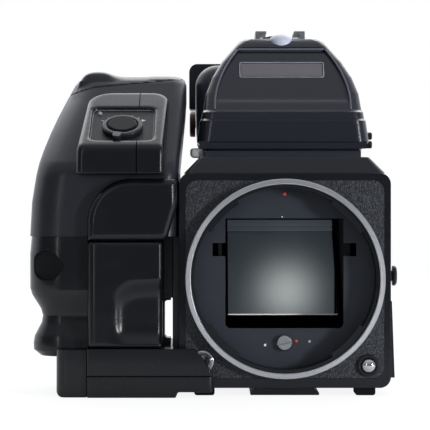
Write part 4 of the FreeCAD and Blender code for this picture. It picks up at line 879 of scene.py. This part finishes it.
def dial_marks():
    """Plain ticks in an arc round the mode ring, two dots, a small lamp, and a thin grey frame
    round the dial that is a painted highlight of the recess's edge.
    """
    ring, long, short = 11.4, 1.6, 0.8
    for index, angle in enumerate((38, 55, 72, 90, 108, 125, 142)):
        turn = math.radians(angle)
        length = short if index % 2 else long
        tick = plate("mode_tick_%d" % index, 0.4, length, 0.12, 0.1)
        settle(tick, (0, 0, angle - 90),
               (ring * math.cos(turn), ring * math.sin(turn), DIAL_PLATE_TOP + 0.08))
        on(on_dial(tick), "winder", "dial_face", WHITE_PAINT)
    for index, (x, y) in enumerate(((3.4, 9.9), (8.4, 7.6))):
        profile = [(0.5, 0), (0.5, 0.08), (0.3, 0.12), (0.05, 0.13)]
        mark = settle(turned("mode_dot_%d" % index, profile, 20), place=(x, y, DIAL_PLATE_TOP))
        on(on_dial(mark), "winder", "dial_face", WHITE_PAINT)
    profile = [(1.0, 0), (1.0, 0.35), (0.8, 0.7), (0.4, 0.9), (0.05, 0.95)]
    lamp = turned("ready_lamp", profile, 32)
    smooth(lamp, 60)
    settle(lamp, place=(-10.6, 13.4, DIAL_PLATE_TOP))
    on(on_dial(lamp), "winder", "dial_face", GREY_PAINT)
    # Painted highlight: grey paint standing in for light on the recess's edge
    border = rim_line("dial_recess_painted_highlight", 27.2, 28.4, 2.8, 0.22)
    settle(border, place=(0, 2.5, DIAL_PLATE_TOP + 0.1))
    on(on_dial(border), "winder", "dial_face", GREY_PAINT)


gap_frame()
dial_marks()


# Floor, background and light

def pale_floor():
    """Matt white paper that looks lit from within to the camera, so that it fades into the
    backdrop and keeps the object's shadow."""
    width, depth, rearward = 8.0, 4.24, 1.88  # in metres
    deselect()
    bpy.ops.mesh.primitive_plane_add(size=1)
    floor = begin("floor")
    bpy.ops.transform.resize(value=(width, depth, 1))
    bpy.ops.transform.translate(value=(0, rearward, 0))
    leave()
    material = bpy.data.materials.new("plain_pale_paper")
    material.use_nodes = True
    tree = material.node_tree
    paper = tree.nodes["Principled BSDF"]
    paper.inputs["Base Color"].default_value = colour("f2f2f2")
    paper.inputs["Roughness"].default_value = 0.9
    paper.inputs["Specular IOR Level"].default_value = 0.1
    glow = add(tree, "Emission", {"Color": (1, 1, 1, 1), "Strength": 1.1})
    seen = add(tree, "LightPath")
    share = add(tree, "Math", {"operation": "MULTIPLY", 1: 0.8},
                {0: seen.outputs["Is Camera Ray"]})
    both = add(tree, "MixShader",
               links={0: share.outputs[0], 1: paper.outputs[0], 2: glow.outputs[0]})
    tree.links.new(both.outputs[0], tree.nodes["Material Output"].inputs["Surface"])
    floor.data.materials.append(material)


def studio_world():
    """A white backdrop behind the object and a darker room in front of it, white where the
    camera sees it."""
    world = bpy.data.worlds.new("studio")
    bpy.context.scene.world = world
    world.use_nodes = True
    tree = world.node_tree
    tree.nodes.clear()
    direction = add(tree, "TexCoord").outputs["Generated"]
    split = add(tree, "SeparateXYZ", links={0: direction})
    behind = add(tree, "MapRange", {"From Min": -0.15, "From Max": 0.35, "To Min": 0.0,
                                    "To Max": 0.85, "interpolation_type": "SMOOTHSTEP"},
                 {"Value": split.outputs["Y"]})
    above = add(tree, "MapRange", {"From Min": 0.15, "From Max": 1.0, "To Min": 0.0,
                                   "To Max": 0.5}, {"Value": split.outputs["Z"]})
    higher = add(tree, "Math", {"operation": "MAXIMUM"},
                 {0: behind.outputs[0], 1: above.outputs[0]})
    level = add(tree, "Math", {"operation": "ADD", 1: 0.15}, {0: higher.outputs[0]})
    seen = add(tree, "LightPath")
    direct = add(tree, "Math", {"operation": "MAXIMUM"},
                 {0: seen.outputs["Is Camera Ray"], 1: seen.outputs["Is Transmission Ray"]})
    strength = add(tree, "Math", {"operation": "MAXIMUM"},
                   {0: level.outputs[0], 1: direct.outputs[0]})
    tint = blend(tree, (0.90, 0.94, 1.0, 1), (1, 1, 1, 1), direct.outputs[0])
    sky = add(tree, "Background", links={"Color": tint, "Strength": strength.outputs[0]})
    add(tree, "OutputWorld", links={"Surface": sky.outputs[0]})


def softbox(name, place, target, width, height, power, glossy=True):
    """A soft area lamp that looks at a point, in mm, and may be kept out of reflections."""
    data = bpy.data.lights.new(name, "AREA")
    data.shape = "RECTANGLE"
    data.size = width * MM
    data.size_y = height * MM
    data.energy = power
    lamp = bpy.data.objects.new(name, data)
    lamp.location = [value * MM for value in place]
    aim = Vector([(end - start) * MM for start, end in zip(place, target)])
    lamp.rotation_euler = aim.to_track_quat("-Z", "Y").to_euler()
    bpy.context.scene.collection.objects.link(lamp)
    lamp.visible_glossy = glossy


OBJECT_MIDDLE = (-20, 0, 60)

pale_floor()
studio_world()
softbox("overhead_softbox", (-20, 800, 800), OBJECT_MIDDLE, 1300, 700, 5.0)
softbox("left_strip", (-400, -900, 200), (-30, 0, 80), 60, 420, 0.35)
softbox("right_key", (720, -640, 150), OBJECT_MIDDLE, 130, 260, 2.6)
softbox("shadow_key", (720, -660, 110), OBJECT_MIDDLE, 120, 120, 9.0, glossy=False)
softbox("front_fill", (-150, -1500, 700), OBJECT_MIDDLE, 900, 500, 2.4, glossy=False)

bpy.context.scene.view_settings.view_transform = "Standard"
